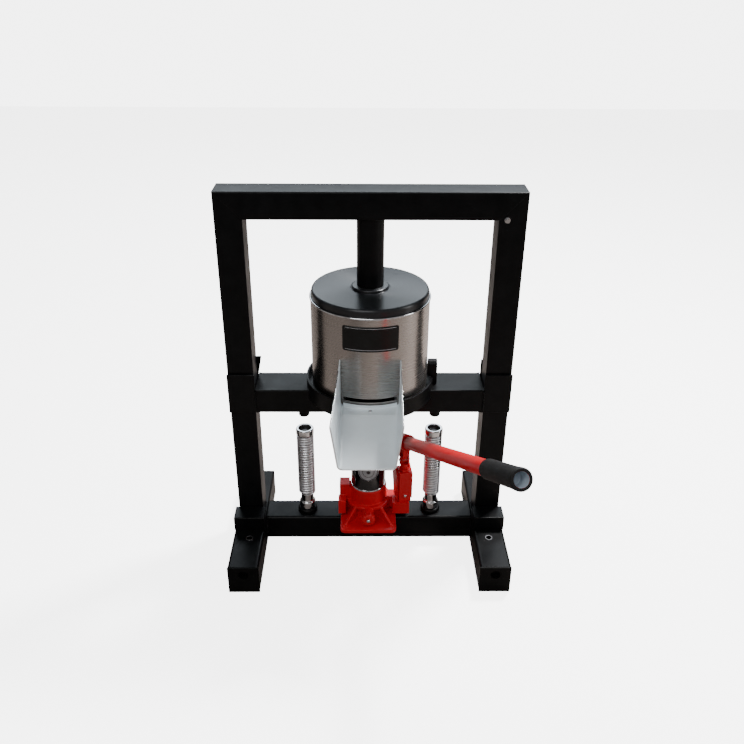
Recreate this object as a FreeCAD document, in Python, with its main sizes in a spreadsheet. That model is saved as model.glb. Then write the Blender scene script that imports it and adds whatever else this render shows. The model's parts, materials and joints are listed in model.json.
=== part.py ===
import FreeCAD, Part
import os
import Sketcher
from FreeCAD import Placement, Rotation, Vector

# Cheese press with a hydraulic bottle jack.
# +X right, +Y to the back, +Z up. The origin is on the floor, at the centre of the four bench holes
# in the feet. A fixed H frame carries the press plate. The jack lifts the platen with the cylinder.

os.makedirs("parts", exist_ok=True)
doc = FreeCAD.newDocument("cheese_press")
dims = doc.addObject("Spreadsheet::Sheet", "dims")

DRIVING_DIMENSIONS = [
    # frame of square tube
    ("frame_width", 440), ("frame_height", 615), ("post", 40), ("post_depth", 46), ("post_front", 26),
    ("post_wall", 2.5), ("edge_round", 2),
    ("foot", 50), ("foot_wall", 3), ("foot_front", 151), ("foot_back", 112), ("foot_round", 5),
    ("base_depth", 50), ("base_height", 45), ("plug_lip", 3), ("plug_hole", 8), ("plug_hole_z", 35),
    ("plug_play", 0.2), ("plug_edge", 0.3), ("plug_tongue", 12), ("plug_hole_depth", 9),
    ("bench_x", 198), ("bench_y", 78), ("bench_hole", 4.5),
    ("bracket_depth", 32), ("bracket_height", 25), ("bracket_round", 1.5), ("bolt_z", 576), ("bolt_x", 191.6),
    ("bolt_head", 3.4), ("bolt_washer", 4.2),
    # press plate on its column
    ("column", 20), ("column_wall", 3), ("column_end", 12), ("plate_radius", 88.5), ("plate_thick", 22),
    ("plate_top", 465),
    ("collar", 28), ("collar_height", 4), ("plate_screw", 5),
    # cylinder
    ("cyl_radius", 90), ("cyl_wall", 1), ("cyl_bottom", 306), ("cyl_top", 453.5), ("bead", 1.5),
    ("slot_half", 40), ("slot_low", 316.5), ("slot_high", 322.5), ("drain_z", 325), ("drain_thick", 2),
    ("drain_radius", 88.6), ("drain_hole", 2), ("drain_pitch", 15), ("name_half", 41),
    ("name_low", 400.5), ("name_high", 440), ("name_thick", 0.4),
    # platen
    ("platen_top", 303), ("platen_depth", 60), ("platen_height", 40), ("platen_half", 178.5),
    ("platen_wall", 3), ("guide_top", 330), ("guide_back_top", 336), ("guide_thick", 4),
    ("guide_outer", 221), ("guide_gap", 0.5), ("peg_x", 106), ("peg_radius", 8.6), ("peg_length", 22),
    ("tray_radius", 99.5), ("tray_wall", 3), ("tray_floor", 3), ("tray_low", 290), ("tray_rim", 318),
    ("lug_inner", 91.5), ("lug_outer", 105.5), ("lug_half", 9), ("lug_top", 343),
    # drain chute: three U sections from the cylinder to the lip
    ("sheet", 1.5), ("chute_back", 74), ("chute_fold", 110), ("chute_front", 192), ("chute_fold_shift", -1.5),
    ("chute_front_shift", -5.5),
    ("chute_back_z", 306.2), ("chute_fold_z", 306.2), ("chute_front_z", 268),
    ("chute_back_top", 384), ("chute_fold_top", 370), ("chute_front_top", 338),
    ("chute_back_half", 45.5), ("chute_fold_half", 43), ("chute_front_half", 40.5),
    ("chute_back_flare", 45), ("chute_fold_flare", 46), ("chute_front_flare", 50.5),
    ("chute_gap", 0.7), ("chute_screw_y", 99), ("lip_radius", 91.6), ("lip_top", 313), ("lip_half", 40),
    # spring posts
    ("spring_x", 106), ("washer_radius", 16.5), ("washer_thick", 7), ("seat_radius", 13.5),
    ("seat_height", 15), ("sleeve_radius", 10.6), ("sleeve_top", 86), ("rod_radius", 7.5),
    ("rod_top", 172), ("coil_radius", 12.2), ("wire", 2), ("coil_turns", 24), ("coil_top", 205),
    ("cap_radius", 14.6), ("cap_height", 11), ("cap_dish", 10.2), ("cap_dish_depth", 6),
    ("cap_neck", 8.6), ("cap_neck_length", 9),
    # jack body
    ("jack_x", -1.5), ("jack_base_half", 46.5), ("jack_base_front", 67), ("jack_base_back", 42),
    ("jack_base_thick", 6), ("jack_base_round", 8), ("jack_bolt", 7.5), ("jack_boss", 34),
    ("jack_flange", 38.7), ("jack_flange_z", 72),
    ("jack_flange_top", 80), ("jack_collar", 31), ("jack_collar_top", 106), ("reservoir", 28.5),
    ("reservoir_wall", 2.5), ("reservoir_top", 172), ("foot_ring", 30), ("foot_ring_height", 3),
    ("nut_top", 184), ("nut_half", 24), ("barrel", 17), ("barrel_floor", 61), ("ram", 13),
    ("running_fit", 0.05), ("ram_low", 94), ("piston_height", 6), ("ram_top", 224), ("wiper", 17),
    ("screw", 8), ("screw_low", 165), ("screw_bore_low", 125), ("saddle", 14), ("saddle_height", 11),
    ("label_radius", 18.6), ("label_z", 146), ("label_thick", 0.5), ("filler_z", 158), ("filler", 5),
    ("wing_outer", 52), ("wing_front", 30), ("wing_low", 62), ("wing_step", 88), ("wing_high", 109),
    ("wing_clear", 39.5), ("wing_back", 12), ("wing_depth", 22), ("jack_reach", 27),
    ("valve_z", 71.5), ("valve_boss", 9), ("valve_boss_front", 49), ("knob", 11.4), ("knob_length", 13),
    ("stem", 4), ("rib_reach", 68), ("rib_thick", 5),
    # pump and handle, in a frame turned by pump_turn about the plunger axis
    ("pump_x", 58), ("pump_y", -16), ("pump_half", 10.5), ("pump_front", 10), ("pump_back", 14),
    ("pump_low", 62), ("pump_foot_top", 84), ("pump_top", 143), ("gland", 9), ("gland_height", 4),
    ("plunger", 6), ("plunger_low", 84), ("fork_low", 156), ("fork_top", 172), ("fork", 8),
    ("fork_slot", 4.4), ("arm", 22), ("pivot_z", 164), ("pivot_pin", 3), ("link_pin", 2.5), ("link_rivet", 3),
    ("link_thick", 3), ("link_end", 8), ("web_half", 4), ("web_eye", 5.8), ("web_reach_y", 19.4),
    ("web_reach_z", 10.4), ("boss_radius", 6.5), ("socket", 13.5),
    ("socket_front", 58), ("socket_back", 10), ("socket_rise", 20), ("handle", 10.5),
    ("handle_wall", 1.6), ("handle_length", 514), ("handle_start", 6), ("grip", 12.5), ("grip_length", 98),
]
for row, (alias, value) in enumerate(DRIVING_DIMENSIONS, start=1):
    dims.set(f"A{row}", alias)
    dims.set(f"B{row}", str(value))
    dims.setAlias(f"B{row}", alias)
doc.recompute()

PUMP_TURN = 13.1        # degrees the pump and handle are turned towards +X
HANDLE_RISE = 28.1      # degrees the handle rises towards its grip at rest
nodes = []


# ---- small helpers -------------------------------------------------------------------------------

def cell(text):
    """Expression text with every alias read from the dimension sheet."""
    words = {alias for alias, _ in DRIVING_DIMENSIONS}
    out, word = [], ""
    for char in text + " ":
        if char.isalnum() or char == "_":
            word += char
            continue
        out.append(f"dims.{word}" if word in words else word)
        out.append(char)
        word = ""
    return "".join(out).strip()


def place(obj, at=("0", "0", "0"), turn=None):
    """Bind an object's position to the sheet; turn is a fixed rotation."""
    obj.Placement = Placement(Vector(0, 0, 0), turn or Rotation())
    for axis, text in zip("xyz", at):
        obj.setExpression(f"Placement.Base.{axis}", cell(text))
    return obj


def box(size, corner, turn=None):
    obj = doc.addObject("Part::Box", "Box")
    for prop, text in zip(("Length", "Width", "Height"), size):
        obj.setExpression(prop, cell(text))
    return place(obj, corner, turn)


TURNS = {"z": Rotation(), "-y": Rotation(Vector(1, 0, 0), 90), "x": Rotation(Vector(0, 1, 0), 90)}


def rod(radius, height, base, along="z"):
    obj = doc.addObject("Part::Cylinder", "Rod")
    obj.setExpression("Radius", cell(radius))
    obj.setExpression("Height", cell(height))
    return place(obj, base, TURNS[along])


def cut(base, *tools):
    obj = doc.addObject("Part::Cut", "Cut")
    obj.Base = base
    obj.Tool = tools[0] if len(tools) == 1 else group(*tools)
    return obj


def group(*parts):
    obj = doc.addObject("Part::MultiFuse", "Fuse")
    obj.Shapes = list(parts)
    return obj


def common(*parts):
    obj = doc.addObject("Part::MultiCommon", "Common")
    obj.Shapes = list(parts)
    return obj


def moved(part, at, turn):
    """A part built near the origin, set down at a bound position."""
    holder = doc.addObject("Part::Compound", "Set")
    holder.Links = [part]
    return place(holder, at, turn)


def node(label, obj):
    obj.Label = label
    nodes.append(obj)
    return obj


def origin_plane(body, role):
    return [item for item in body.Origin.OriginFeatures if item.Role == role][0]


def new_body(label, at=("0", "0", "0"), turn=None):
    body = doc.addObject("PartDesign::Body", label)
    body.Label = label
    place(body, at, turn)
    return body


def sketch_on(body, role, offset=None):
    sketch = body.newObject("Sketcher::SketchObject", "Sketch")
    sketch.AttachmentSupport = [(origin_plane(body, role), "")]
    sketch.MapMode = "FlatFace"
    if offset:
        sketch.setExpression("AttachmentOffset.Base.z", cell(offset))
    return sketch


def outline(sketch, points):
    """Closed polygon whose corners are bound to the sheet."""
    count = len(points)
    start = sketch.GeometryCount
    spots = [Vector(7 * i + 3, 5 * (i % 3) + 2 * i + 3, 0) for i in range(count)]
    for i in range(count):
        sketch.addGeometry(Part.LineSegment(spots[i], spots[(i + 1) % count]), False)
    for i in range(count):
        sketch.addConstraint(Sketcher.Constraint("Coincident", start + i, 2, start + (i + 1) % count, 1))
    for i, (across, up) in enumerate(points):
        for kind, text, value in (("DistanceX", across, spots[i].x), ("DistanceY", up, spots[i].y)):
            index = sketch.addConstraint(Sketcher.Constraint(kind, -1, 1, start + i, 1, value))
            name = f"{kind[-1].lower()}{start + i}"
            sketch.renameConstraint(index, name)
            sketch.setExpression(f"Constraints.{name}", cell(text))


def circle(sketch, radius, across="0", up="0"):
    item = sketch.addGeometry(Part.Circle(Vector(4, 3, 0), Vector(0, 0, 1), 5), False)
    for kind, text, value in (("DistanceX", across, 4), ("DistanceY", up, 3)):
        index = sketch.addConstraint(Sketcher.Constraint(kind, -1, 1, item, 3, value))
        sketch.renameConstraint(index, f"{kind[-1].lower()}c{item}")
        sketch.setExpression(f"Constraints.{kind[-1].lower()}c{item}", cell(text))
    index = sketch.addConstraint(Sketcher.Constraint("Radius", item, 5))
    sketch.renameConstraint(index, f"r{item}")
    sketch.setExpression(f"Constraints.r{item}", cell(radius))


def pad(body, sketch, length, middle=False, backwards=False):
    feature = body.newObject("PartDesign::Pad", "Pad")
    feature.Profile = sketch
    feature.setExpression("Length", cell(length))
    feature.SideType = "Symmetric" if middle else "One side"
    feature.Reversed = backwards
    sketch.Visibility = False
    return feature


def pocket_through(body, sketch):
    feature = body.newObject("PartDesign::Pocket", "Pocket")
    feature.Profile = sketch
    feature.Type = "ThroughAll"
    feature.SideType = "Symmetric"
    sketch.Visibility = False
    return feature


def turned(label, points, at=("0", "0", "0"), turn=None):
    """Body of revolution about its own Z axis from a profile of (radius, height) corners."""
    body = new_body(label, at, turn)
    sketch = sketch_on(body, "XZ_Plane")
    outline(sketch, points)
    feature = body.newObject("PartDesign::Revolution", "Revolution")
    feature.Profile = sketch
    feature.ReferenceAxis = (sketch, ["V_Axis"])
    feature.Angle = 360
    sketch.Visibility = False
    return body


def rectangle(x_low, x_high, y_low, y_high):
    return [(x_low, y_low), (x_high, y_low), (x_high, y_high), (x_low, y_high)]


def fillet_where(body, radius, wanted):
    """Fillet those edges of the body's tip for which wanted(edge) is true."""
    doc.recompute()
    tip = body.Tip
    names = [f"Edge{i + 1}" for i, edge in enumerate(tip.Shape.Edges) if wanted(edge)]
    feature = body.newObject("PartDesign::Fillet", "Fillet")
    feature.Base = (tip, names)
    feature.setExpression("Radius", cell(radius))
    doc.recompute()
    return feature


def runs_along(edge, direction):
    ends = [vertex.Point for vertex in edge.Vertexes]
    if len(ends) < 2:
        return False
    run = (ends[1] - ends[0]).normalize()
    return abs(run.dot(direction)) > 0.999


def outer_edges(half_a, half_b, axis_a, axis_b, along):
    """Test for the four long outer edges of a tube centred on its own axis."""
    def wanted(edge):
        middle = edge.CenterOfMass
        return (runs_along(edge, along) and abs(abs(middle.dot(axis_a)) - half_a) < 0.01
                and abs(abs(middle.dot(axis_b)) - half_b) < 0.01)
    return wanted


X, Y, Z = Vector(1, 0, 0), Vector(0, 1, 0), Vector(0, 0, 1)


def size(alias):
    return float(dims.get(alias))


def tube_y(label, half_x, half_z, wall, length, at, round_by):
    """Rectangular tube along Y, centred on its section, its front end at the given point."""
    body = new_body(label, at)
    sketch = sketch_on(body, "XZ_Plane")
    outline(sketch, rectangle(f"-{half_x}", half_x, f"-({half_z})", half_z))
    outline(sketch, rectangle(f"-({half_x} - {wall})", f"{half_x} - {wall}",
                              f"-({half_z} - {wall})", f"{half_z} - {wall}"))
    pad(body, sketch, length, backwards=True)
    doc.recompute()
    local = body.Tip.Shape.BoundBox
    fillet_where(body, round_by, outer_edges(local.XMax, local.ZMax, X, Z, Y))
    return body


def tube_x(label, half_y, half_z, wall, half_length, at, round_by):
    """Rectangular tube along X, centred on its own middle."""
    body = new_body(label, at)
    sketch = sketch_on(body, "YZ_Plane")
    outline(sketch, rectangle(f"-({half_y})", half_y, f"-({half_z})", half_z))
    outline(sketch, rectangle(f"-({half_y} - {wall})", f"{half_y} - {wall}",
                              f"-({half_z} - {wall})", f"{half_z} - {wall}"))
    pad(body, sketch, f"2 * ({half_length})", middle=True)
    doc.recompute()
    local = body.Tip.Shape.BoundBox
    fillet_where(body, round_by, outer_edges(local.YMax, local.ZMax, Y, Z, X))
    return body


# ---- frame ---------------------------------------------------------------------------------------

POST_MIDDLE = "post_depth / 2 - post_front"


def make_top_beam():
    """Top tube with both ends mitred at 45 degrees."""
    body = new_body("top_beam", ("0", POST_MIDDLE, "frame_height - post / 2"))
    sketch = sketch_on(body, "XZ_Plane")
    outline(sketch, [("-frame_width / 2", "post / 2"), ("frame_width / 2", "post / 2"),
                     ("frame_width / 2 - post", "-post / 2"), ("-(frame_width / 2 - post)", "-post / 2")])
    pad(body, sketch, "post_depth", middle=True)
    hollow = sketch_on(body, "YZ_Plane")
    outline(hollow, rectangle("-(post_depth / 2 - post_wall)", "post_depth / 2 - post_wall",
                              "-(post / 2 - post_wall)", "post / 2 - post_wall"))
    pocket_through(body, hollow)
    fillet_where(body, "edge_round", outer_edges(size("post_depth") / 2, size("post") / 2, Y, Z, X))
    nodes.append(body)


def make_upright(name, side):
    """Upright tube standing on a foot, mitred at its top."""
    body = new_body(name, (f"{side} * (frame_width - post) / 2", POST_MIDDLE, "foot"))
    sketch = sketch_on(body, "XZ_Plane")
    outline(sketch, [(f"{side} * post / 2", "0"), (f"{side} * post / 2", "frame_height - foot"),
                     (f"-{side} * post / 2", "frame_height - foot - post"), (f"-{side} * post / 2", "0")])
    pad(body, sketch, "post_depth", middle=True)
    hollow = sketch_on(body, "XY_Plane")
    outline(hollow, rectangle("-(post / 2 - post_wall)", "post / 2 - post_wall",
                              "-(post_depth / 2 - post_wall)", "post_depth / 2 - post_wall"))
    pocket_through(body, hollow)
    fillet_where(body, "edge_round", outer_edges(size("post") / 2, size("post_depth") / 2, X, Y, Z))
    nodes.append(body)


def make_foot(name, side):
    """Foot tube along Y with two bench holes through it."""
    tube = tube_y(f"{name}_tube", "foot / 2", "foot / 2", "foot_wall",
                  "foot_front + foot_back - 2 * plug_lip",
                  (f"{side} * (frame_width - post) / 2", "-foot_front + plug_lip", "foot / 2"), "foot_round")
    holes = [rod("bench_hole", "foot + 2", (f"{side} * bench_x", f"{end} * bench_y", "-1"))
             for end in (-1, 1)]
    node(name, cut(tube, *holes))


def plug_parts(side, front):
    """End plug of a foot: a thin cap with a tongue inside the tube; a blind round hole in its face."""
    inner = "foot / 2 - foot_wall - plug_play"
    middle = f"{side} * (frame_width - post) / 2"
    face = "-foot_front" if front else "foot_back - plug_lip"
    cap = box(("foot - 2 * plug_edge", "plug_lip", "foot - 2 * plug_edge"),
              (f"{middle} - foot / 2 + plug_edge", face, "plug_edge"))
    tongue_y = "-foot_front + plug_lip" if front else "foot_back - plug_lip - plug_tongue"
    tongue = box((f"2 * ({inner})", "plug_tongue", f"2 * ({inner})"),
                 (f"{middle} - ({inner})", tongue_y, f"foot / 2 - ({inner})"))
    start = "-foot_front + plug_hole_depth" if front else "foot_back + 1"
    hole = rod("plug_hole", "plug_hole_depth + 1", (middle, start, "plug_hole_z"), "-y")
    return cut(group(cap, tongue), hole)


def make_set(label, parts):
    """One node of several like pieces."""
    holder = doc.addObject("Part::Compound", "Set")
    holder.Links = parts
    node(label, holder)


def make_bracket(name, side):
    """Welded block in front of the foot of an upright."""
    body = new_body(name, (f"{side} * (frame_width - post) / 2", "-post_front", "foot"))
    sketch = sketch_on(body, "XZ_Plane")
    outline(sketch, rectangle("-foot / 2", "foot / 2", "0", "bracket_height"))
    pad(body, sketch, "bracket_depth")
    fillet_where(body, "bracket_round", lambda edge: runs_along(edge, X) and edge.CenterOfMass.z > 1)
    nodes.append(body)


def hexagon(radius):
    """Corners of a hexagon about the origin, across-corner radius given as text."""
    steps = (("1", "0"), ("0.5", "0.8660"), ("-0.5", "0.8660"), ("-1", "0"), ("-0.5", "-0.8660"),
             ("0.5", "-0.8660"))
    return [(f"{a} * ({radius})", f"{b} * ({radius})") for a, b in steps]


def make_corner_bolt():
    body = new_body("corner_bolt", ("bolt_x", "-post_front", "bolt_z"))
    washer = sketch_on(body, "XZ_Plane")
    circle(washer, "bolt_washer")
    pad(body, washer, "1")
    head = sketch_on(body, "XZ_Plane")
    outline(head, hexagon("bolt_head"))
    pad(body, head, "5")
    nodes.append(body)


make_top_beam()
make_upright("left_upright", -1)
make_upright("right_upright", 1)
nodes.append(tube_x("base_beam", "base_depth / 2", "base_height / 2", "foot_wall",
                    "(frame_width - post) / 2 - foot / 2", ("0", "0", "foot - base_height / 2"),
                    "foot_round"))
plugs = []
for side_name, side in (("left", -1), ("right", 1)):
    make_foot(f"{side_name}_foot", side)
    plugs += [plug_parts(side, True), plug_parts(side, False)]
    make_bracket(f"{side_name}_foot_bracket", side)
make_set("foot_plugs", plugs)
make_corner_bolt()


# ---- press plate ---------------------------------------------------------------------------------

nodes.append(turned("press_column", [
    ("plate_screw", "0"), ("column", "0"), ("column", "frame_height - post - plate_top"),
    ("column - column_wall", "frame_height - post - plate_top"), ("column - column_wall", "column_end"),
    ("plate_screw", "column_end")], ("0", "0", "plate_top")))
nodes.append(turned("column_collar", [
    ("column", "0"), ("collar", "0"), ("collar", "collar_height - 1"), ("collar - 1", "collar_height"),
    ("column", "collar_height")], ("0", "0", "plate_top")))
nodes.append(turned("press_plate", [
    ("plate_screw", "8"), ("10", "8"), ("10", "0"), ("plate_radius - 1.5", "0"), ("plate_radius", "1.5"),
    ("plate_radius", "plate_thick - 2"), ("plate_radius - 2", "plate_thick"),
    ("plate_screw", "plate_thick")], ("0", "0", "plate_top - plate_thick")))
nodes.append(turned("plate_screw", [
    ("0", "1"), ("9", "1"), ("9", "8"), ("plate_screw", "8"), ("plate_screw", "plate_thick + column_end"),
    ("0", "plate_thick + column_end")], ("0", "0", "plate_top - plate_thick")))


# ---- cylinder ------------------------------------------------------------------------------------

def make_cylinder():
    """Rolled stainless wall with a drain slot low at the front."""
    wall = turned("cylinder_wall_sheet", [
        ("cyl_radius - cyl_wall", "0"), ("cyl_radius", "0"),
        ("cyl_radius", "cyl_top - cyl_bottom - 2 * bead"),
        ("cyl_radius - cyl_wall", "cyl_top - cyl_bottom - 2 * bead")], ("0", "0", "cyl_bottom"))
    slot = box(("2 * slot_half", "cyl_radius", "slot_high - slot_low"),
               ("-slot_half", "-cyl_radius - 2", "slot_low"))
    node("cylinder_wall", cut(wall, slot))
    rim = turned("cylinder_rim", [
        ("cyl_radius - cyl_wall", "0"), ("cyl_radius", "0"), ("cyl_radius + bead - 0.4", "0.6"),
        ("cyl_radius + bead", "bead"), ("cyl_radius + bead - 0.4", "2 * bead - 0.6"),
        ("cyl_radius", "2 * bead"), ("cyl_radius - cyl_wall", "2 * bead")],
        ("0", "0", "cyl_top - 2 * bead"))
    nodes.append(rim)


def make_drain_plate():
    """Perforated false floor on six short legs."""
    plate = rod("drain_radius", "drain_thick", ("0", "0", "drain_z"))
    reach = int(size("drain_radius") / size("drain_pitch"))
    holes = []
    for column in range(-reach, reach + 1):
        for row in range(-reach, reach + 1):
            if (column ** 2 + row ** 2) ** 0.5 * size("drain_pitch") > size("drain_radius") - 14:
                continue
            holes.append(rod("drain_hole", "drain_thick + 2",
                             (f"{column} * drain_pitch", f"{row} * drain_pitch", "drain_z - 1")))
    legs = []
    for step in range(6):
        across, along = ROSETTE[step]
        legs.append(rod("4", "drain_z - cyl_bottom - 0.1",
                        (f"{across} * (drain_radius - 8)", f"{along} * (drain_radius - 8)",
                         "cyl_bottom + 0.1")))
    node("drain_plate", group(cut(plate, *holes), *legs))


ROSETTE = ((1, 0), (0.5, 0.866), (-0.5, 0.866), (-1, 0), (-0.5, -0.866), (0.5, -0.866))
make_cylinder()
make_drain_plate()
name_ring = cut(rod("cyl_radius + name_thick", "name_high - name_low", ("0", "0", "name_low")),
                rod("cyl_radius", "name_high - name_low + 2", ("0", "0", "name_low - 1")))
node("name_plate", common(name_ring, box(("2 * name_half", "cyl_radius + 5", "name_high - name_low"),
                                         ("-name_half", "-cyl_radius - 5", "name_low"))))


# ---- platen --------------------------------------------------------------------------------------

def make_guide_plate(name, side, front):
    """Plate that straddles an upright; the back left one widens to its top."""
    near = f"{'post_front' if front else 'post_depth - post_front'} + guide_gap"
    body = new_body(name, ("0", f"-({near} + guide_thick)" if front else near, "0"))
    sketch = sketch_on(body, "XZ_Plane")
    low = "platen_top - platen_height"
    if front or side > 0:
        top = "guide_top"
        points = [(f"{side} * platen_half", low), (f"{side} * guide_outer", low),
                  (f"{side} * guide_outer", top), (f"{side} * platen_half", top)]
    else:
        top = "guide_back_top"
        points = [(f"{side} * platen_half", low), (f"{side} * guide_outer", low),
                  (f"{side} * guide_outer", top), (f"{side} * (platen_half - 6)", top),
                  (f"{side} * platen_half", "platen_top + 1")]
    outline(sketch, points)
    pad(body, sketch, "guide_thick", backwards=True)
    nodes.append(body)


def make_platen_beam():
    """Rectangular tube closed by an end plate at each end."""
    tube = tube_x("platen_tube", "platen_depth / 2", "platen_height / 2", "platen_wall",
                  "platen_half - platen_wall", ("0", "0", "platen_top - platen_height / 2"), "edge_round")
    ends = [box(("platen_wall", "platen_depth", "platen_height"),
                (corner, "-platen_depth / 2", "platen_top - platen_height"))
            for corner in ("-platen_half", "platen_half - platen_wall")]
    node("platen_beam", group(tube, *ends))


def make_tray():
    """Round pan on the platen beam. Its skirt is notched over the beam, its rim open at the chute."""
    inner = "tray_radius - tray_wall"
    floor = "platen_top"
    pan = turned("tray_pan", [
        ("0", floor), (inner, floor), (inner, "tray_low"), ("tray_radius", "tray_low"),
        ("tray_radius", "tray_rim"), (inner, "tray_rim"), (inner, f"{floor} + tray_floor"),
        ("0", f"{floor} + tray_floor")])
    beam_notch = box(("2 * tray_radius + 4", "platen_depth", f"{floor} - tray_low + 2"),
                     ("-tray_radius - 2", "-platen_depth / 2", "tray_low - 2"))
    mouth = box(("2 * (chute_fold_flare + 2)", "40", "tray_rim - cyl_bottom + 2"),
                ("-(chute_fold_flare + 2)", "-tray_radius - 10", "cyl_bottom"))
    screw_hole = rod("1.6", "10", ("0", "-chute_screw_y", "platen_top - 2"))
    node("drip_tray", cut(pan, beam_notch, mouth, screw_hole))


def u_section(half, flare, low, top, middle):
    """Corners of a U of sheet: half widths at floor and top, floor and top heights, middle line."""
    inner = f"{half} - sheet"
    return [(f"{middle} - ({flare})", top), (f"{middle} - ({half})", low), (f"{middle} + {half}", low),
            (f"{middle} + {flare}", top), (f"{middle} + {flare} - sheet", top),
            (f"{middle} + {inner}", f"{low} + sheet"), (f"{middle} - ({inner})", f"{low} + sheet"),
            (f"{middle} - ({flare} - sheet)", top)]


def make_chute():
    """Folded sheet spout, fitted round the front of the cylinder and bent a little to the left."""
    body = new_body("chute_sheet")
    sections = []
    for stage, middle in (("back", "0"), ("fold", "chute_fold_shift"), ("front", "chute_front_shift")):
        sketch = sketch_on(body, "XZ_Plane", f"chute_{stage}")
        outline(sketch, u_section(f"chute_{stage}_half", f"chute_{stage}_flare", f"chute_{stage}_z",
                                  f"chute_{stage}_top", middle))
        sections.append(sketch)
    loft = body.newObject("PartDesign::AdditiveLoft", "Loft")
    loft.Profile = sections[0]
    loft.Sections = sections[1:]
    loft.Ruled = True
    clear = rod("cyl_radius + chute_gap", "200", ("0", "0", "chute_front_z"))
    hole = rod("1.6", "20", ("0", "-chute_screw_y", "cyl_bottom - 5"))
    lip_low = "chute_fold_z + sheet / 2"
    lip_ring = cut(rod("lip_radius + sheet", f"lip_top - ({lip_low})", ("0", "0", lip_low)),
                   rod("lip_radius", "lip_top", ("0", "0", "cyl_bottom - 5")))
    lip = common(lip_ring, box(("2 * lip_half", "lip_radius", "lip_top"),
                               ("-lip_half", "-lip_radius - 5", "0")))
    node("drain_chute", cut(group(cut(body, clear), lip), hole))


make_platen_beam()
for side_name, side in (("left", -1), ("right", 1)):
    make_guide_plate(f"{side_name}_front_guide", side, True)
    make_guide_plate(f"{side_name}_back_guide", side, False)
make_set("stop_pegs", [turned(f"peg_{side_name}", [
    ("0", "0"), ("peg_radius - 1.5", "0"), ("peg_radius", "3"), ("peg_radius", "peg_length"),
    ("0", "peg_length")], (f"{side} * peg_x", "0", "platen_top - platen_height - peg_length"))
    for side_name, side in (("left", -1), ("right", 1))])
make_tray()
make_chute()
nodes.append(turned("chute_screw", [
    ("0", "-4"), ("1.5", "-4"), ("1.5", "sheet"), ("3.2", "sheet"), ("2.4", "sheet + 1.6"),
    ("0", "sheet + 2")], ("0", "-chute_screw_y", "chute_fold_z + 0.02")))
lug_post = box(("lug_outer - lug_inner", "2 * lug_half", "lug_top - tray_rim - lug_half"),
               ("lug_inner", "-lug_half", "tray_rim"))
lug_head = rod("lug_half", "lug_outer - lug_inner", ("lug_inner", "0", "lug_top - lug_half"), "x")
lug_leg = box(("lug_outer - tray_radius", "2 * lug_half", "tray_rim - platen_top"),
              ("tray_radius", "-lug_half", "platen_top"))
node("side_lug", cut(group(lug_post, lug_head, lug_leg),
                     rod("tray_radius", "tray_rim - platen_top", ("0", "0", "platen_top"))))


# ---- spring posts --------------------------------------------------------------------------------

def make_coil(name, side):
    """Round wire swept along a helix; the wire's lowest point rests on the sleeve."""
    helix = doc.addObject("Part::Helix", "Helix")
    helix.setExpression("Radius", cell("coil_radius"))
    helix.setExpression("Height", cell("coil_top - sleeve_top - 2 * wire - 0.2"))
    helix.setExpression("Pitch", cell("(coil_top - sleeve_top - 2 * wire - 0.2) / coil_turns"))
    wire = doc.addObject("Part::Circle", "Wire")
    wire.setExpression("Radius", cell("wire"))
    place(wire, ("coil_radius", "0", "0"), TURNS["-y"])
    sweep = doc.addObject("Part::Sweep", "Sweep")
    sweep.Sections = [wire]
    doc.recompute()
    sweep.Spine = (helix, [f"Edge{i + 1}" for i in range(len(helix.Shape.Edges))])
    sweep.Solid = True
    sweep.Frenet = True
    node(name, moved(sweep, (f"{side} * spring_x", "0", "sleeve_top + wire + 0.1"), Rotation()))


washers = []
for side_name, side in (("left", -1), ("right", 1)):
    at_foot = (f"{side} * spring_x", "0", "foot")
    washers.append(turned(f"washer_{side_name}", [
        ("rod_radius", "0"), ("washer_radius", "0"), ("washer_radius", "washer_thick"),
        ("rod_radius", "washer_thick")], at_foot))
    nodes.append(turned(f"{side_name}_spring_seat", [
        ("rod_radius", "washer_thick"), ("seat_radius", "washer_thick"),
        ("seat_radius", "washer_thick + seat_height - 1"),
        ("seat_radius - 1", "washer_thick + seat_height"), ("sleeve_radius", "washer_thick + seat_height"),
        ("sleeve_radius", "sleeve_top - foot"), ("rod_radius", "sleeve_top - foot")], at_foot))
    nodes.append(turned(f"{side_name}_spring_rod", [
        ("0", "0"), ("rod_radius", "0"), ("rod_radius", "rod_top - foot - 2"),
        ("rod_radius - 2", "rod_top - foot"), ("0", "rod_top - foot")], at_foot))
    make_coil(f"{side_name}_spring", side)
    nodes.append(turned(f"{side_name}_spring_cap", [
        ("0", "-cap_neck_length"), ("cap_neck", "-cap_neck_length"), ("cap_neck", "0"),
        ("cap_radius - 1", "0"), ("cap_radius", "2"), ("cap_radius", "cap_height - 4"),
        ("cap_radius - 1.6", "cap_height - 1"), ("cap_radius - 3.4", "cap_height"),
        ("cap_dish", "cap_height - 0.6"), ("cap_dish - 1.5", "cap_height - cap_dish_depth"),
        ("0", "cap_height - cap_dish_depth")], (f"{side} * spring_x", "0", "coil_top")))
make_set("spring_washers", washers)


# ---- jack body -----------------------------------------------------------------------------------

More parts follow.
